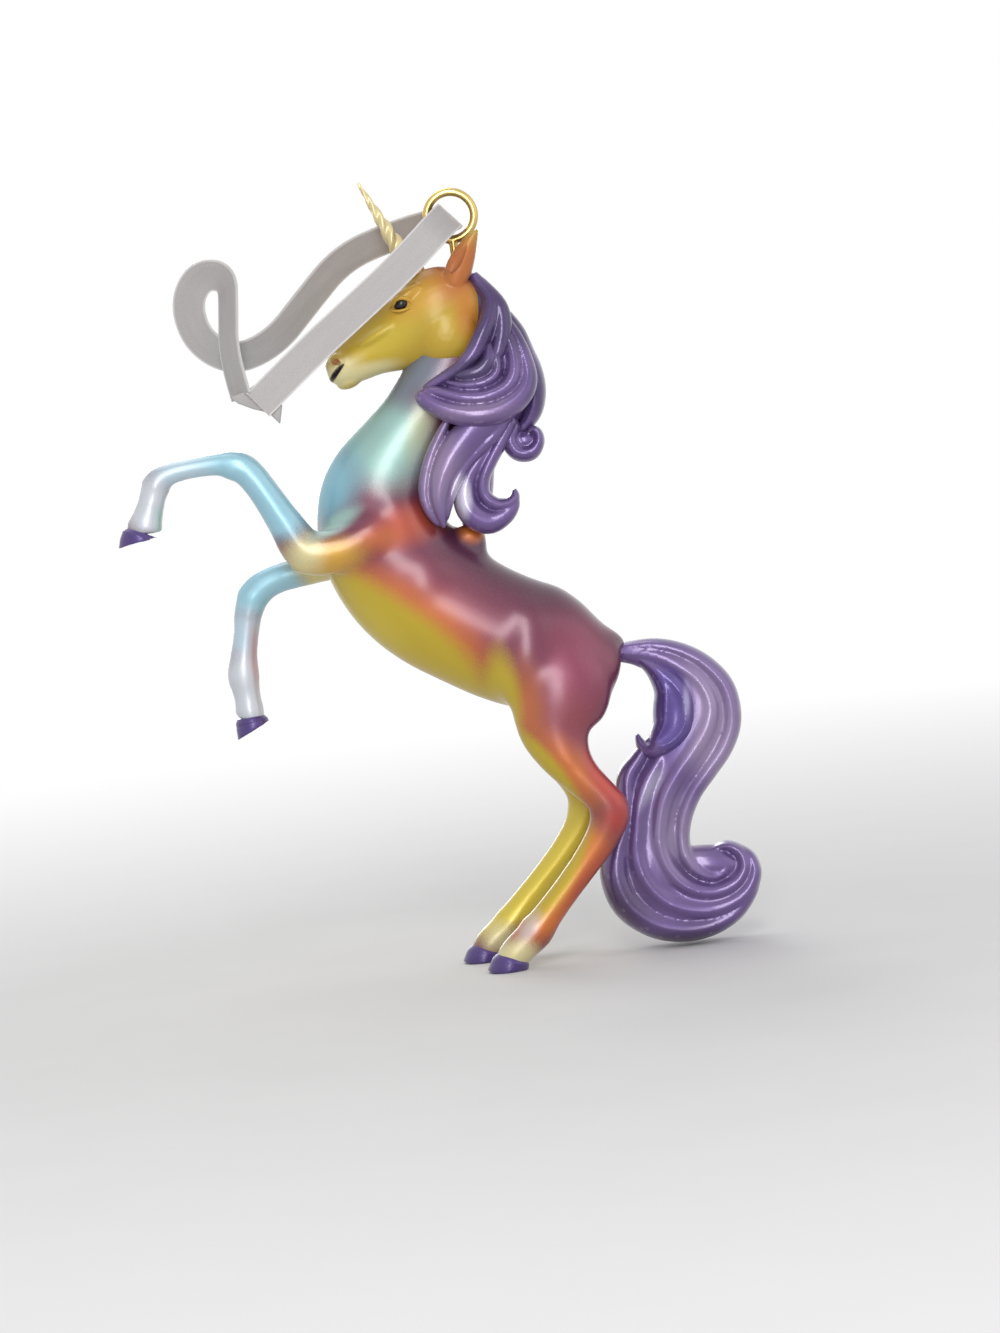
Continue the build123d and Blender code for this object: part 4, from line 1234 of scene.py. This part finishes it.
@dataclass
class Tail:
    """Tail of flowing strands: an outer sweep down into a swirl, and a cupped crescent lock inside it."""

    sweep_core: Rows = level(
        (25.4, 42, 2.6, 2.8), (28, 41.6, 3.4, 3.6), (31, 40.5, 4.8, 4.6), (34, 38.6, 6.6, 5.2),
        (35.9, 35.8, 8.4, 5.6), (36.2, 32.8, 9.6, 5.8), (35, 29.6, 10.2, 5.8), (32.7, 26, 10, 5.8),
        (30.2, 22.7, 8.8, 5.6), (28.2, 18.9, 8.4, 5.8), (27.4, 15, 9.4, 6.2), (26.6, 10.5, 11, 6.8),
        (27.6, 6.8, 9.8, 7), (31.6, 5.2, 8.2, 7), (35.8, 5.6, 6.6, 6.6), (38.8, 8, 4.4, 5.6),
        (38.6, 10.6, 2.6, 4),
    )
    edge_strand: Rows = level(
        (26.2, 42.6, 1.5, 3), (30.3, 42.5, 2, 4), (33.9, 41.4, 2.4, 4.8), (37.1, 39.3, 2.7, 5.4),
        (39.5, 36.3, 2.9, 5.8), (40.3, 33.1, 3, 6), (40, 30, 3, 6), (38.5, 27, 3, 6), (36.1, 24.2, 3, 6),
        (33.8, 21.5, 2.9, 5.9), (32.2, 18.5, 2.8, 5.8), (31.5, 15.5, 2.6, 5.8), (31.7, 12.8, 2.4, 6.2),
        (33.1, 10.5, 2.2, 6.4), (35.2, 9.4, 1.9, 6.2), (37, 10, 1.5, 5.6), (37.4, 11.3, 1, 4.8),
        (36.6, 12, 0.5, 3.2),
    )
    broad_strand: Rows = level(
        (26.2, 41.9, 1.9, 3.2), (30.1, 41.2, 2.8, 4.6), (33.5, 39.4, 3.4, 5.8), (36.2, 36.9, 3.4, 6.2),
        (37.4, 33.6, 3.6, 6.6), (36.6, 30.4, 3.9, 7), (34.3, 27.2, 4.2, 7), (31.8, 24.3, 4.2, 7),
        (29.8, 21.3, 4, 7), (28.7, 18.1, 3.9, 7), (28.3, 14.7, 3.8, 7.1), (29.2, 11.2, 3.6, 7.3),
        (31.6, 8.4, 3.5, 7.5), (34.8, 7.3, 3.3, 7.4), (37.9, 8, 3.1, 7), (39.7, 10, 2.6, 6.4),
        (39.5, 12.2, 2, 5.6), (37.8, 13.4, 1.4, 4.6), (35.9, 13.2, 0.7, 3),
    )
    inner_strand: Rows = level(
        (32.4, 30.6, 0.8, 1.6), (31, 28.4, 1.9, 3.8), (29.5, 26.2, 2.8, 5.4), (27.6, 23.6, 3.5, 6.4),
        (26.2, 20.6, 3.9, 6.8), (25.4, 17.2, 4, 7), (25, 13.8, 4.1, 7.2), (25.8, 10.1, 4.2, 7.6),
        (28.2, 6.9, 4.2, 7.9), (31.8, 5.2, 4.1, 8), (35.6, 5, 3.9, 7.9), (39.2, 6.5, 3.4, 7.5),
        (41, 9.1, 2.5, 6.6), (40.9, 11.5, 1.6, 5.2), (39.6, 13.1, 0.6, 2.8),
    )
    lower_strand: Rows = level(
        (29.4, 30, 0.8, 1.6), (28.1, 28.6, 1.6, 3.2), (26.6, 26.8, 2.3, 4.6), (24.9, 24.5, 2.9, 5.6),
        (24.4, 20.8, 3.1, 6.2), (23.7, 17.4, 3.5, 6.6), (22.4, 14.4, 4.1, 7), (21.9, 10.8, 4.7, 7.6),
        (23.2, 6.8, 5, 8), (26.4, 3.9, 4.7, 8.2), (30.2, 2.6, 4.2, 8.2), (34.2, 2.7, 3.6, 8),
        (37.9, 4.2, 2.9, 7.4), (40.6, 6.9, 1.9, 6), (41.5, 8.9, 0.8, 3),
    )
    swirl_bed: Rows = level(
        (30.4, 12.6, 2, 3.6), (32.6, 11.8, 4.4, 5), (35, 11, 5.6, 5.6), (37.6, 10.6, 4.6, 5),
        (39.4, 10.6, 2.2, 3.6),
    )
    crescent: Rows = level(
        (28.2, 41, 1.4, 3.2), (30.4, 39.2, 3, 6.2), (32.3, 36.5, 5.2, 8), (32.7, 33.7, 6.3, 8.6),
        (32.1, 31, 6.1, 8.6), (30.3, 28.9, 4.6, 7.6), (28.6, 28, 2.9, 6), (27.4, 28.8, 1.7, 3.8),
        (26.9, 30.4, 0.5, 1.4),
    )
    cup: Rows = (
        (30.6, 4, 39, 0.9, 1.2), (31.9, 4.9, 36.4, 3.2, 2.6), (32.4, 5.2, 33.6, 4.4, 3.4),
        (31.8, 5.1, 31.2, 4.2, 3.2), (30.2, 4.5, 29.7, 2.8, 2.4), (28.6, 3.7, 29.2, 0.9, 1.3),
    )
    voxel: float = 0.00022
    smoothing: int = 9
    crescent_voxel: float = 0.00018
    crescent_smoothing: int = 4
    rest_height: float = 0.00002

    def build(self, material: bpy.types.Material) -> None:
        """Builds and dresses the tail.

        Args:
            material: The hair's paint.
        """
        names = ("sweep_core", "edge_strand", "broad_strand", "inner_strand", "lower_strand", "swirl_bed")
        forms = [lofted(name, getattr(self, name), sides=28, steps=5) for name in names]
        sweep = fused(forms, "tail_strands", self.voxel, self.smoothing)
        cut_flat(sweep, Vector((0.0, 0.0, self.rest_height)), Vector((0.0, 0.0, 1.0)))
        finished(sweep, material, ("tail_sweep", "tail_swirl"))
        crescent = lofted("tail_cupped_lock", self.crescent, sides=40, steps=6)
        for side in Side:
            carve(crescent, lofted("cup_cut", side_of(self.cup, side), sides=24, steps=6))
        reskinned(crescent, self.crescent_voxel, self.crescent_smoothing)
        finished(crescent, material, ("tail_crescent",))


@dataclass(frozen=True)
class Lock:
    """One lock of hair: its name, the CAD node that it stands for and its strands."""

    name: str
    node: str
    strands: tuple[Rows, ...]


CREST_FRONT_FAR = (
    (10.4, 1.2, 96.2, 1.8, 1.8), (10.9, 3, 92.8, 3, 2.8), (10.8, 4.2, 89.2, 3.6, 3.2),
    (10.2, 4.8, 85.6, 3.8, 3.2), (9, 5, 82.2, 3.8, 3), (7.6, 5.2, 79, 3.8, 3.2), (6, 5.6, 76, 3.2, 3.2),
    (4.4, 6, 73.2, 2, 2.4), (3.4, 6.2, 71.2, 0.6, 1),
)
CREST_MIDDLE_FAR = (
    (11.6, 1.6, 95, 2, 2), (13, 3.2, 91.2, 3, 3), (13.6, 4.2, 87.4, 3.4, 3.3), (13.4, 4.7, 83.6, 3.6, 3.1),
    (12.6, 4.8, 80.2, 3.7, 3), (11.4, 4.9, 77.2, 3.7, 3.2), (9.8, 5.3, 74.4, 3, 3), (8.2, 5.6, 71.8, 1.8, 2.2),
    (7, 5.8, 69.8, 0.5, 0.9),
)
CREST_BACK_FAR = (
    (12.8, 1, 93.4, 1.8, 2.2), (14.8, 2.2, 89.6, 2.8, 3.2), (15.8, 3, 85.6, 3.2, 3.4), (16, 3.2, 81.6, 3.2, 3.2),
    (15.2, 3, 78, 2.6, 2.6), (14.2, 2.6, 75.8, 1.4, 1.6),
)
CREST_FRONT_NEAR = (
    (11.2, -1.2, 96.4, 1.6, 1.8), (13.2, -2.4, 93, 2.3, 2.6), (12.8, -3.4, 90.3, 2.6, 3),
    (11.4, -4.2, 87.7, 2.7, 3.4), (9.8, -4.5, 85.4, 2.5, 3.4), (7.7, -4.4, 83.7, 2.1, 3.2),
    (5.4, -4.2, 82.6, 1.7, 2.8), (3.8, -4.1, 81.9, 1.4, 2.2), (2.7, -4, 81.4, 0.9, 1.4),
)
CREST_MIDDLE_NEAR = (
    (12, -1.4, 95.4, 1.8, 2), (14.2, -2.6, 91.8, 2.6, 2.8), (14.4, -3.4, 88.6, 2.8, 3),
    (13.6, -3.9, 85.8, 2.6, 2.9), (12.4, -4.1, 83.8, 1.8, 2),
)
CREST_CORE = level(
    (10.2, 96.6, 1.8, 2.4), (11.6, 94, 3.8, 4.6), (12.8, 91, 5, 6.6), (13.2, 87.8, 6.4, 8),
    (12.8, 84.4, 8.4, 8.6), (12.2, 81.4, 11, 9), (12.1, 79, 11.6, 9), (12.2, 76.8, 10, 8.2), (12.6, 75, 6, 5.6),
)
BACK_LOCK = level(
    (15.2, 90.6, 1.6, 3), (16.5, 88, 2.2, 4.2), (17.2, 85.1, 2.7, 5.2), (17.7, 83, 3.1, 5.8), (18, 81, 3.2, 6),
    (17.9, 79, 3.2, 5.8), (17.4, 77, 2.9, 5.4), (16.5, 75.5, 2.3, 4.6), (15.4, 74.4, 1.7, 3.4),
    (14.5, 73.7, 0.8, 1.6),
)
ROLL_TOP = (
    (12.4, -3.2, 87.2, 1.1, 2), (13.2, -4, 84.7, 1.5, 2.8), (12.9, -4.5, 82.6, 1.7, 3.2),
    (11.3, -4.8, 81.5, 1.7, 3.4), (8.8, -4.8, 81.3, 1.5, 3.2), (6.7, -4.6, 81.8, 1.1, 2.4),
    (5.4, -4.3, 82.6, 0.5, 1),
)
ROLL_MIDDLE = (
    (13.6, -2.4, 90.4, 1.2, 2), (14.9, -3.2, 87.4, 1.8, 2.6), (15.5, -3.9, 84.7, 2.1, 3),
    (15.3, -4.6, 82.1, 2.4, 3.6), (13.9, -5, 80.3, 2.5, 4), (11, -5.3, 79.4, 2.4, 4.2), (8.1, -5.3, 79.6, 2.2, 4),
    (5.5, -5, 80.5, 1.8, 3.4), (3.9, -4.7, 81.1, 1.5, 2.8), (2.8, -4.4, 81.4, 0.9, 1.6),
)
ROLL_LOW = (
    (14.6, -1.8, 90.6, 1.2, 1.8), (16.1, -2.6, 87.6, 1.7, 2.4), (17, -3.4, 84.3, 2.2, 3.2),
    (17.1, -4.2, 81.2, 2.8, 3.8), (15.8, -4.9, 79, 3.2, 4.3), (13, -5.4, 77.4, 3.6, 4.8),
    (9.6, -5.6, 77.1, 3.6, 4.9), (6.4, -5.4, 77.8, 3.2, 4.6), (4, -5.1, 79, 2.7, 4), (2.6, -4.8, 80.2, 2.3, 3.2),
    (2.1, -4.5, 81, 1.5, 2),
)
ROLL_HEART = (
    (12, -3.4, 86.6, 1.4, 2.4), (12.1, -4.2, 84.6, 2.3, 3.2), (10.7, -4.6, 83.1, 2.6, 3.4),
    (8.4, -4.6, 82.8, 2, 3), (6.8, -4.3, 83.1, 0.8, 1.6),
)
ROLL_BED = (
    (3.4, -3.5, 81.4, 1.8, 1.6), (6.2, -3.5, 81.6, 3.6, 2.4), (9.4, -3.4, 82.4, 5.4, 2.8),
    (12.4, -3.3, 83.6, 6.4, 3), (14.8, -3.4, 85, 4.4, 2.4),
)
LONG_BODY = (
    (12.8, 3.6, 79.2, 1.6, 1.6), (11.9, 4.2, 76.8, 3.8, 3.6), (8.7, 4.6, 74.9, 4.7, 4.4),
    (5.6, 4.9, 71.9, 4.4, 4.7), (3.8, 5.1, 68.9, 3.6, 4.6), (3.1, 5.2, 66.2, 2.8, 4.1), (3.2, 5.3, 63.8, 1.7, 3),
    (3.4, 5.4, 62.1, 0.5, 1.4),
)
LONG_EDGE = (
    (7.4, 4, 79.2, 0.6, 1.2), (5.2, 4.4, 76.4, 1.2, 2.4), (3, 4.6, 72.8, 1.7, 3), (1.7, 4.7, 69.6, 1.9, 3.3),
    (1.2, 4.8, 66.8, 1.8, 3.2), (1.7, 5, 64.4, 1.4, 2.6), (2.7, 5.2, 62.5, 0.5, 1),
)
LONG_BACK = (
    (13.8, 3.8, 76.4, 1.4, 2.8), (12, 4.1, 74.4, 1.9, 3.2), (9.6, 4.3, 72.5, 1.9, 3.2), (7.3, 4.6, 70.4, 1.7, 3),
    (5.7, 4.8, 68.1, 1.5, 2.7), (4.6, 5, 65.7, 1.1, 2.2), (3.9, 5.2, 63.3, 0.5, 1),
)
UNDERLAY = level(
    (10.4, 77, 5.4, 6.6), (9.4, 73.4, 5.6, 6.8), (8.6, 70, 5.4, 7), (8.1, 66.6, 5.2, 6.6), (7.8, 63.6, 4.2, 5.6),
    (7.3, 61, 2.8, 4), (6.9, 59.2, 1.4, 2.2),
)
HOOK_OUTER = (
    (14.3, -2.4, 75.8, 1.7, 3.4), (12.5, -2.8, 73.2, 2.1, 3.6), (10.7, -3.1, 70.6, 2.1, 3.7),
    (9.5, -3.2, 68.3, 2, 3.7), (9.4, -3.1, 66.1, 1.9, 3.6), (10.8, -3.1, 64.6, 1.9, 3.5),
    (12.6, -3, 64.5, 1.7, 3.1), (13.6, -2.9, 65.3, 1.4, 2.5), (13.6, -2.9, 66.4, 0.6, 1.3),
)
HOOK_INNER = (
    (11.9, -2.5, 74.6, 2.1, 3.6), (9.7, -2.9, 71.5, 2.3, 3.8), (7.6, -3, 68.9, 2.8, 4), (6.7, -3, 66.2, 3.3, 4.1),
    (7.3, -3, 63.8, 3.7, 4.1), (9.5, -2.9, 62.3, 3.6, 4), (11.9, -2.9, 62.9, 2.7, 3.6),
    (13.4, -2.8, 64.2, 1.6, 2.8), (13.8, -2.8, 65.4, 0.7, 1.4),
)
BALL_CURL = (
    (13.4, -1, 77.6, 2.2, 3.4), (14.5, -1.3, 75.1, 1.9, 3.6), (13.8, -1.3, 73.1, 2.5, 4.2),
    (14.7, -1.3, 71.4, 2.5, 4.3), (16.5, -1.3, 71.2, 2.4, 4.2), (17.7, -1.3, 72.5, 1.8, 3.9),
    (17.7, -1.3, 73.9, 1.3, 3.5), (16.9, -1.3, 74.4, 0.9, 3), (16.4, -1.3, 73.7, 0.5, 2.2),
)
CURL_BED = (
    (14.2, -1.3, 73, 1.4, 2.2), (15.2, -1.3, 72.9, 2.6, 3), (16.4, -1.3, 72.8, 2.6, 3),
    (17.3, -1.3, 72.8, 1.2, 2),
)


@dataclass
class Mane:
    """Mane of locks that lie over each other, each made of one to six strands."""

    locks: tuple[Lock, ...] = (
        Lock(
            "mane_crest_locks",
            "mane_crest",
            (CREST_CORE, CREST_FRONT_NEAR, CREST_MIDDLE_NEAR, CREST_FRONT_FAR, CREST_MIDDLE_FAR, CREST_BACK_FAR),
        ),
        Lock("mane_back_curl", "mane_back_lock", (BACK_LOCK,)),
        Lock("mane_rolled_lock", "mane_roll", (ROLL_BED, ROLL_HEART, ROLL_TOP, ROLL_MIDDLE, ROLL_LOW)),
        Lock("mane_under_lock", "mane_underlay", (UNDERLAY,)),
        Lock(
            "mane_falling_lock_near",
            "mane_long_lock_near",
            tuple(side_of(rows, Side.NEAR) for rows in (LONG_BODY, LONG_EDGE, LONG_BACK)),
        ),
        Lock("mane_falling_lock_far", "mane_long_lock_far", (LONG_BODY, LONG_EDGE, LONG_BACK)),
        Lock("mane_hooked_lock", "mane_hook_lock", (HOOK_OUTER, HOOK_INNER)),
        Lock("mane_round_curl", "mane_ball_curl", (BALL_CURL, CURL_BED)),
    )
    voxel: float = 0.00018
    smoothing: int = 7

    def build(self, material: bpy.types.Material) -> None:
        """Builds and dresses the mane.

        Args:
            material: The hair's paint.
        """
        for lock in self.locks:
            strands = enumerate(lock.strands)
            forms = [lofted(f"{lock.name}_{number}", rows, sides=24, steps=5) for number, rows in strands]
            form = fused(forms, lock.name, self.voxel, self.smoothing)
            finished(form, material, (lock.node,))


@dataclass
class HangerEye:
    """Eye of round plated wire on a stem that is screwed into the poll."""

    place: Point = (9.0, 0.0, 105.0)
    ring_radius: float = 3.3
    wire: float = 1.2
    foot: float = 95.6
    collar: Rows = level(
        (9, 96.9, 1.7, 1.7), (9, 97.3, 2, 2), (9, 97.7, 1.6, 1.6), (9, 97.9, 1.3, 1.3),
    )
    ring_sides: tuple[int, int] = (72, 20)
    voxel: float = 0.00011
    smoothing: int = 12

    def build(self, material: bpy.types.Material) -> None:
        """Builds and dresses the eye.

        Args:
            material: The plating.
        """
        deselect_all()
        bpy.ops.mesh.primitive_torus_add(
            major_segments=self.ring_sides[0],
            minor_segments=self.ring_sides[1],
            major_radius=self.ring_radius * MM,
            minor_radius=self.wire / 2 * MM,
            location=Vector(self.place) * MM,
            rotation=(pi / 2, 0.0, 0.0),
        )
        ring = settled(bpy.context.object)
        x, y, z = self.place
        top = z - self.ring_radius
        stem_rows = [(x, y, top - share * (top - self.foot), self.wire, self.wire) for share in (0.0, 0.5, 1.0)]
        stem = lofted("eye_stem", stem_rows, sides=20, steps=4)
        collar = lofted("eye_collar", self.collar, sides=24, steps=4)
        eye = fused([ring, stem, collar], "wire_eye", self.voxel, self.smoothing)
        finished(eye, material, ("hanger_eye",))


@dataclass
class Ribbon:
    """Flat satin ribbon threaded through the eye, its two ends sewn together in a tab."""

    route: tuple[Point, ...] = (
        (-20.2, -6.2, 81.8), (-12.6, -5.9, 88), (-5.6, -5.9, 93.1), (1.8, -5.8, 98.6), (9, -5.7, 105),
        (9, 5.7, 105), (0.8, 5.9, 103.6), (-6.8, 5.6, 101.2), (-12.4, 4.8, 95.6), (-17.4, 4, 90.4),
        (-23.4, 3, 88.4), (-27.9, 1.8, 91.6), (-29, 0.6, 97), (-26.4, -0.6, 100.8), (-22.6, -1.8, 100),
        (-22.9, -3, 95.4), (-23.6, -4.2, 89), (-22.4, -5, 83.2),
    )
    width: float = 0.0045
    thickness: float = 0.00035
    line_steps: int = 14
    length: float = 0.1165
    columns: int = 8
    tab_outline: tuple[tuple[float, float], ...] = (
        (-24, 83.3), (-22.9, 82.3), (-20.9, 81.3), (-18.9, 80.6), (-17.5, 78.9), (-16.9, 81.5), (-19.8, 85),
        (-21.4, 84),
    )
    tab_front: float = 5.85
    tab_depth: float = 0.0013
    tab_rounding: float = 0.0002
    band_angle: float = radians(50)
    tab_angle: float = radians(40)

    def spline_points(self) -> list[Vector]:
        """Points along the ribbon's middle line, read from its smooth curve.

        Returns:
            The points, from the tab round to the tab.
        """
        curve = bpy.data.curves.new("ribbon_line", "CURVE")
        curve.dimensions = "3D"
        curve.resolution_u = self.line_steps
        spline = curve.splines.new("NURBS")
        spline.points.add(len(self.route) - 1)
        for point, place in zip(spline.points, self.route):
            point.co = (*(Vector(place) * MM), 1.0)
        spline.order_u = 3
        spline.use_endpoint_u = True
        line = bpy.data.objects.new("ribbon_line", curve)
        bpy.context.scene.collection.objects.link(line)
        mesh = bpy.data.meshes.new_from_object(line)
        points = [vertex.co.copy() for vertex in mesh.vertices]
        bpy.data.objects.remove(line)
        bpy.data.meshes.remove(mesh)
        return points

    def build_band(self, points: Sequence[Vector], material: bpy.types.Material) -> bpy.types.Object:
        """Makes the band, whose width is carried along the line without any twist of its own.

        Args:
            points: Points along the middle line.
            material: The satin.

        Returns:
            The band.
        """
        mesh = bmesh.new()
        layer = mesh.loops.layers.uv.new("weave")
        across = (points[1] - points[0]).cross(SIDE_AXIS).normalized()
        rows, places, run = [], [], 0.0
        for number, place in enumerate(points):
            ahead = points[min(number + 1, len(points) - 1)] - points[max(number - 1, 0)]
            along = ahead.normalized()
            across = (across - along * across.dot(along)).normalized()
            run += (place - points[number - 1]).length if number else 0.0
            row = []
            for column in range(self.columns + 1):
                offset = (column / self.columns - 0.5) * self.width
                row.append(mesh.verts.new(place + across * offset))
                places.append((offset, run))
            rows.append(row)
        mesh.verts.index_update()
        for low, high in zip(rows, rows[1:]):
            for column in range(self.columns):
                face = mesh.faces.new((low[column], low[column + 1], high[column + 1], high[column]))
                for loop in face.loops:
                    loop[layer].uv = places[loop.vert.index]
        data = bpy.data.meshes.new("satin_band")
        mesh.to_mesh(data)
        mesh.free()
        band = bpy.data.objects.new("satin_band", data)
        bpy.context.scene.collection.objects.link(band)
        apply_modifier(band, "SOLIDIFY", thickness=self.thickness, offset=0.0)
        make_active(band)
        bpy.ops.object.shade_smooth_by_angle(angle=self.band_angle)
        band.data.materials.append(material)
        return band

    def build_tab(self, material: bpy.types.Material) -> bpy.types.Object:
        """Makes the sewn tab with its pointed tail.

        Args:
            material: The satin.

        Returns:
            The tab.
        """
        deselect_all()
        count = len(self.tab_outline)
        bpy.ops.mesh.primitive_circle_add(vertices=count, radius=MM, fill_type="NGON", location=(0, 0, 0))
        tab = bpy.context.object
        tab.name = "sewn_tab"
        for vertex, (x, z) in zip(tab.data.vertices, self.tab_outline):
            vertex.co = Vector((x, -self.tab_front, z)) * MM
        edit_all(tab)
        bpy.ops.mesh.extrude_region_move(TRANSFORM_OT_translate={"value": (0.0, self.tab_depth, 0.0)})
        bpy.ops.object.mode_set(mode="OBJECT")
        settled(tab)
        edges = {"segments": 3, "limit_method": "ANGLE", "angle_limit": self.tab_angle}
        apply_modifier(tab, "BEVEL", width=self.tab_rounding, **edges)
        edit_all(tab)
        bpy.ops.uv.cube_project(cube_size=1.0, scale_to_bounds=False, correct_aspect=False)
        bpy.ops.object.mode_set(mode="OBJECT")
        bpy.ops.object.shade_smooth_by_angle(angle=self.tab_angle)
        tab.data.materials.append(material)
        return tab

    def build(self, material: bpy.types.Material, tab_material: bpy.types.Material) -> None:
        """Args:
            material: The band's satin.
            tab_material: The tab's satin.
        """
        points = self.spline_points()
        band = self.build_band(points, material)
        tab = self.build_tab(tab_material)
        for piece, node in ((band, "ribbon"), (tab, "ribbon_tab")):
            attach(piece, RIBBON_BODY)
            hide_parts(node)
        LOG.info("satin_band: %d points along", len(points))


# Floor, light and camera


@dataclass
class Studio:
    """Pale floor, soft lights and white surroundings."""

    floor_radius: float = 1.2
    floor_sides: int = 96
    floor_tones: tuple[float, float] = (0.80, 0.84)
    speckle_scale: float = 60.0
    fade: tuple[float, float] = (0.07, 0.42)
    lights: tuple[tuple[str, Point, tuple[float, float], float], ...] = (
        ("key_panel", (0.0, -0.68, 0.3), (0.16, 0.6), 2.6),
        ("fill_panel", (0.55, -0.3, 0.3), (0.5, 0.5), 0.4),
        ("top_panel", (-0.1, 0.2, 0.72), (0.45, 0.45), 1.0),
        ("back_panel", (-0.15, 0.7, 0.3), (0.3, 0.5), 1.5),
    )
    aim: Point = (0.0, 0.0, 0.055)
    ambient: float = 0.36

    def build(self) -> None:
        """Builds the floor, the lights and the world."""
        deselect_all()
        bpy.ops.mesh.primitive_circle_add(
            vertices=self.floor_sides, radius=self.floor_radius, fill_type="NGON", location=(0, 0, 0)
        )
        floor = bpy.context.object
        floor.name = "floor"
        floor.data.materials.append(self.floor_material())
        for name, place, (width, height), power in self.lights:
            deselect_all()
            bpy.ops.object.light_add(type="AREA", location=place)
            lamp = bpy.context.object
            lamp.name = name
            lamp.data.energy = power
            lamp.data.shape = "RECTANGLE"
            lamp.data.size = width
            lamp.data.size_y = height
            lamp.rotation_euler = (Vector(self.aim) - Vector(place)).to_track_quat("-Z", "Y").to_euler()
        self.build_world()

    def white_ray(self, sheet: NodeSheet) -> bpy.types.NodeSocket:
        """A mask of the rays that see the white background.

        Args:
            sheet: The sheet that the mask's nodes are added to.

        Returns:
            The mask.
        """
        path = sheet.add("ShaderNodeLightPath").outputs
        mirrored = sheet.math("MAXIMUM", path["Is Glossy Ray"], path["Is Transmission Ray"])
        return sheet.math("MAXIMUM", path["Is Camera Ray"], mirrored)

    def build_world(self) -> None:
        """Gives the scene soft ambient light that looks white where it is seen."""
        world = bpy.data.worlds.new("studio_world")
        bpy.context.scene.world = world
        world.use_nodes = True
        sheet = NodeSheet(world.node_tree)
        seen = self.white_ray(sheet)
        strength = sheet.math("MULTIPLY_ADD", seen, 1.0 - self.ambient, self.ambient)
        sheet.join(world.node_tree.nodes["Background"], {"Color": WHITE, "Strength": strength})

    def floor_material(self) -> bpy.types.Material:
        """The floor's matt white, which turns into the white background away from the figurine.

        Returns:
            The material.
        """
        material, sheet, shader = new_material("pale_floor")
        place = sheet.add("ShaderNodeTexCoord").outputs["Object"]
        reach = sheet.add("ShaderNodeVectorMath", {0: place}, operation="LENGTH").outputs["Value"]
        seen = sheet.math("MULTIPLY", sheet.ramp(reach, *self.fade), self.white_ray(sheet))
        dark, pale = [(tone, tone, tone, 1.0) for tone in self.floor_tones]
        tone = sheet.mix(sheet.noise(place, self.speckle_scale, 3.0), dark, pale)
        sheet.join(shader, {"Base Color": tone, "Roughness": 0.9, "Specular IOR Level": 0.2})
        glow = sheet.add("ShaderNodeEmission", {"Color": WHITE, "Strength": 1.0})
        blend = sheet.add("ShaderNodeMixShader", {0: seen, 1: shader.outputs[0], 2: glow.outputs[0]})
        sheet.join(sheet.tree.nodes["Material Output"], {"Surface": blend.outputs[0]})
        return material


@dataclass
class Viewpoint:
    """Camera in front of the figurine's near side, slightly raised and leaning with the box."""

    target: Point = (0.0089, 0.0, 0.0419)
    distance: float = 0.5
    elevation: float = 3.5
    lean: float = -6.4
    lens: float = 128.6

    def build(self) -> None:
        """Adds the camera and makes it the scene's own."""
        data = bpy.data.cameras.new("viewpoint")
        data.sensor_fit = "HORIZONTAL"
        data.sensor_width = 36.0
        data.lens = self.lens
        camera = bpy.data.objects.new("viewpoint", data)
        bpy.context.scene.collection.objects.link(camera)
        rise = radians(self.elevation)
        offset = Vector((0.0, -cos(rise), sin(rise))) * self.distance
        camera.location = Vector(self.target) + offset
        facing = (-offset).to_track_quat("-Z", "Y").to_matrix()
        camera.rotation_euler = (facing @ Matrix.Rotation(radians(self.lean), 3, "Z")).to_euler()
        bpy.context.scene.camera = camera


def main() -> None:
    """Builds the scene, piece by piece."""
    logging.basicConfig(level=logging.INFO, format="%(name)s: %(message)s")
    bpy.context.scene.view_settings.view_transform = "Standard"
    Viewpoint().build()
    Ribbon().build(Satin().build(), Satin("folded_satin", edge_start=1.0).build())
    coat, face, hair = COAT.build(), FACE.build(), HAIR.build()
    Coat().build(coat)
    Head().build(face)
    Eyes().build(EYE.build(), face)
    Horn().build(HORN.build())
    Hooves().build(HOOF.build())
    Tail().build(hair)
    Mane().build(hair)
    HangerEye().build(WIRE.build())
    Studio().build()


if __name__ == "__main__":
    main()
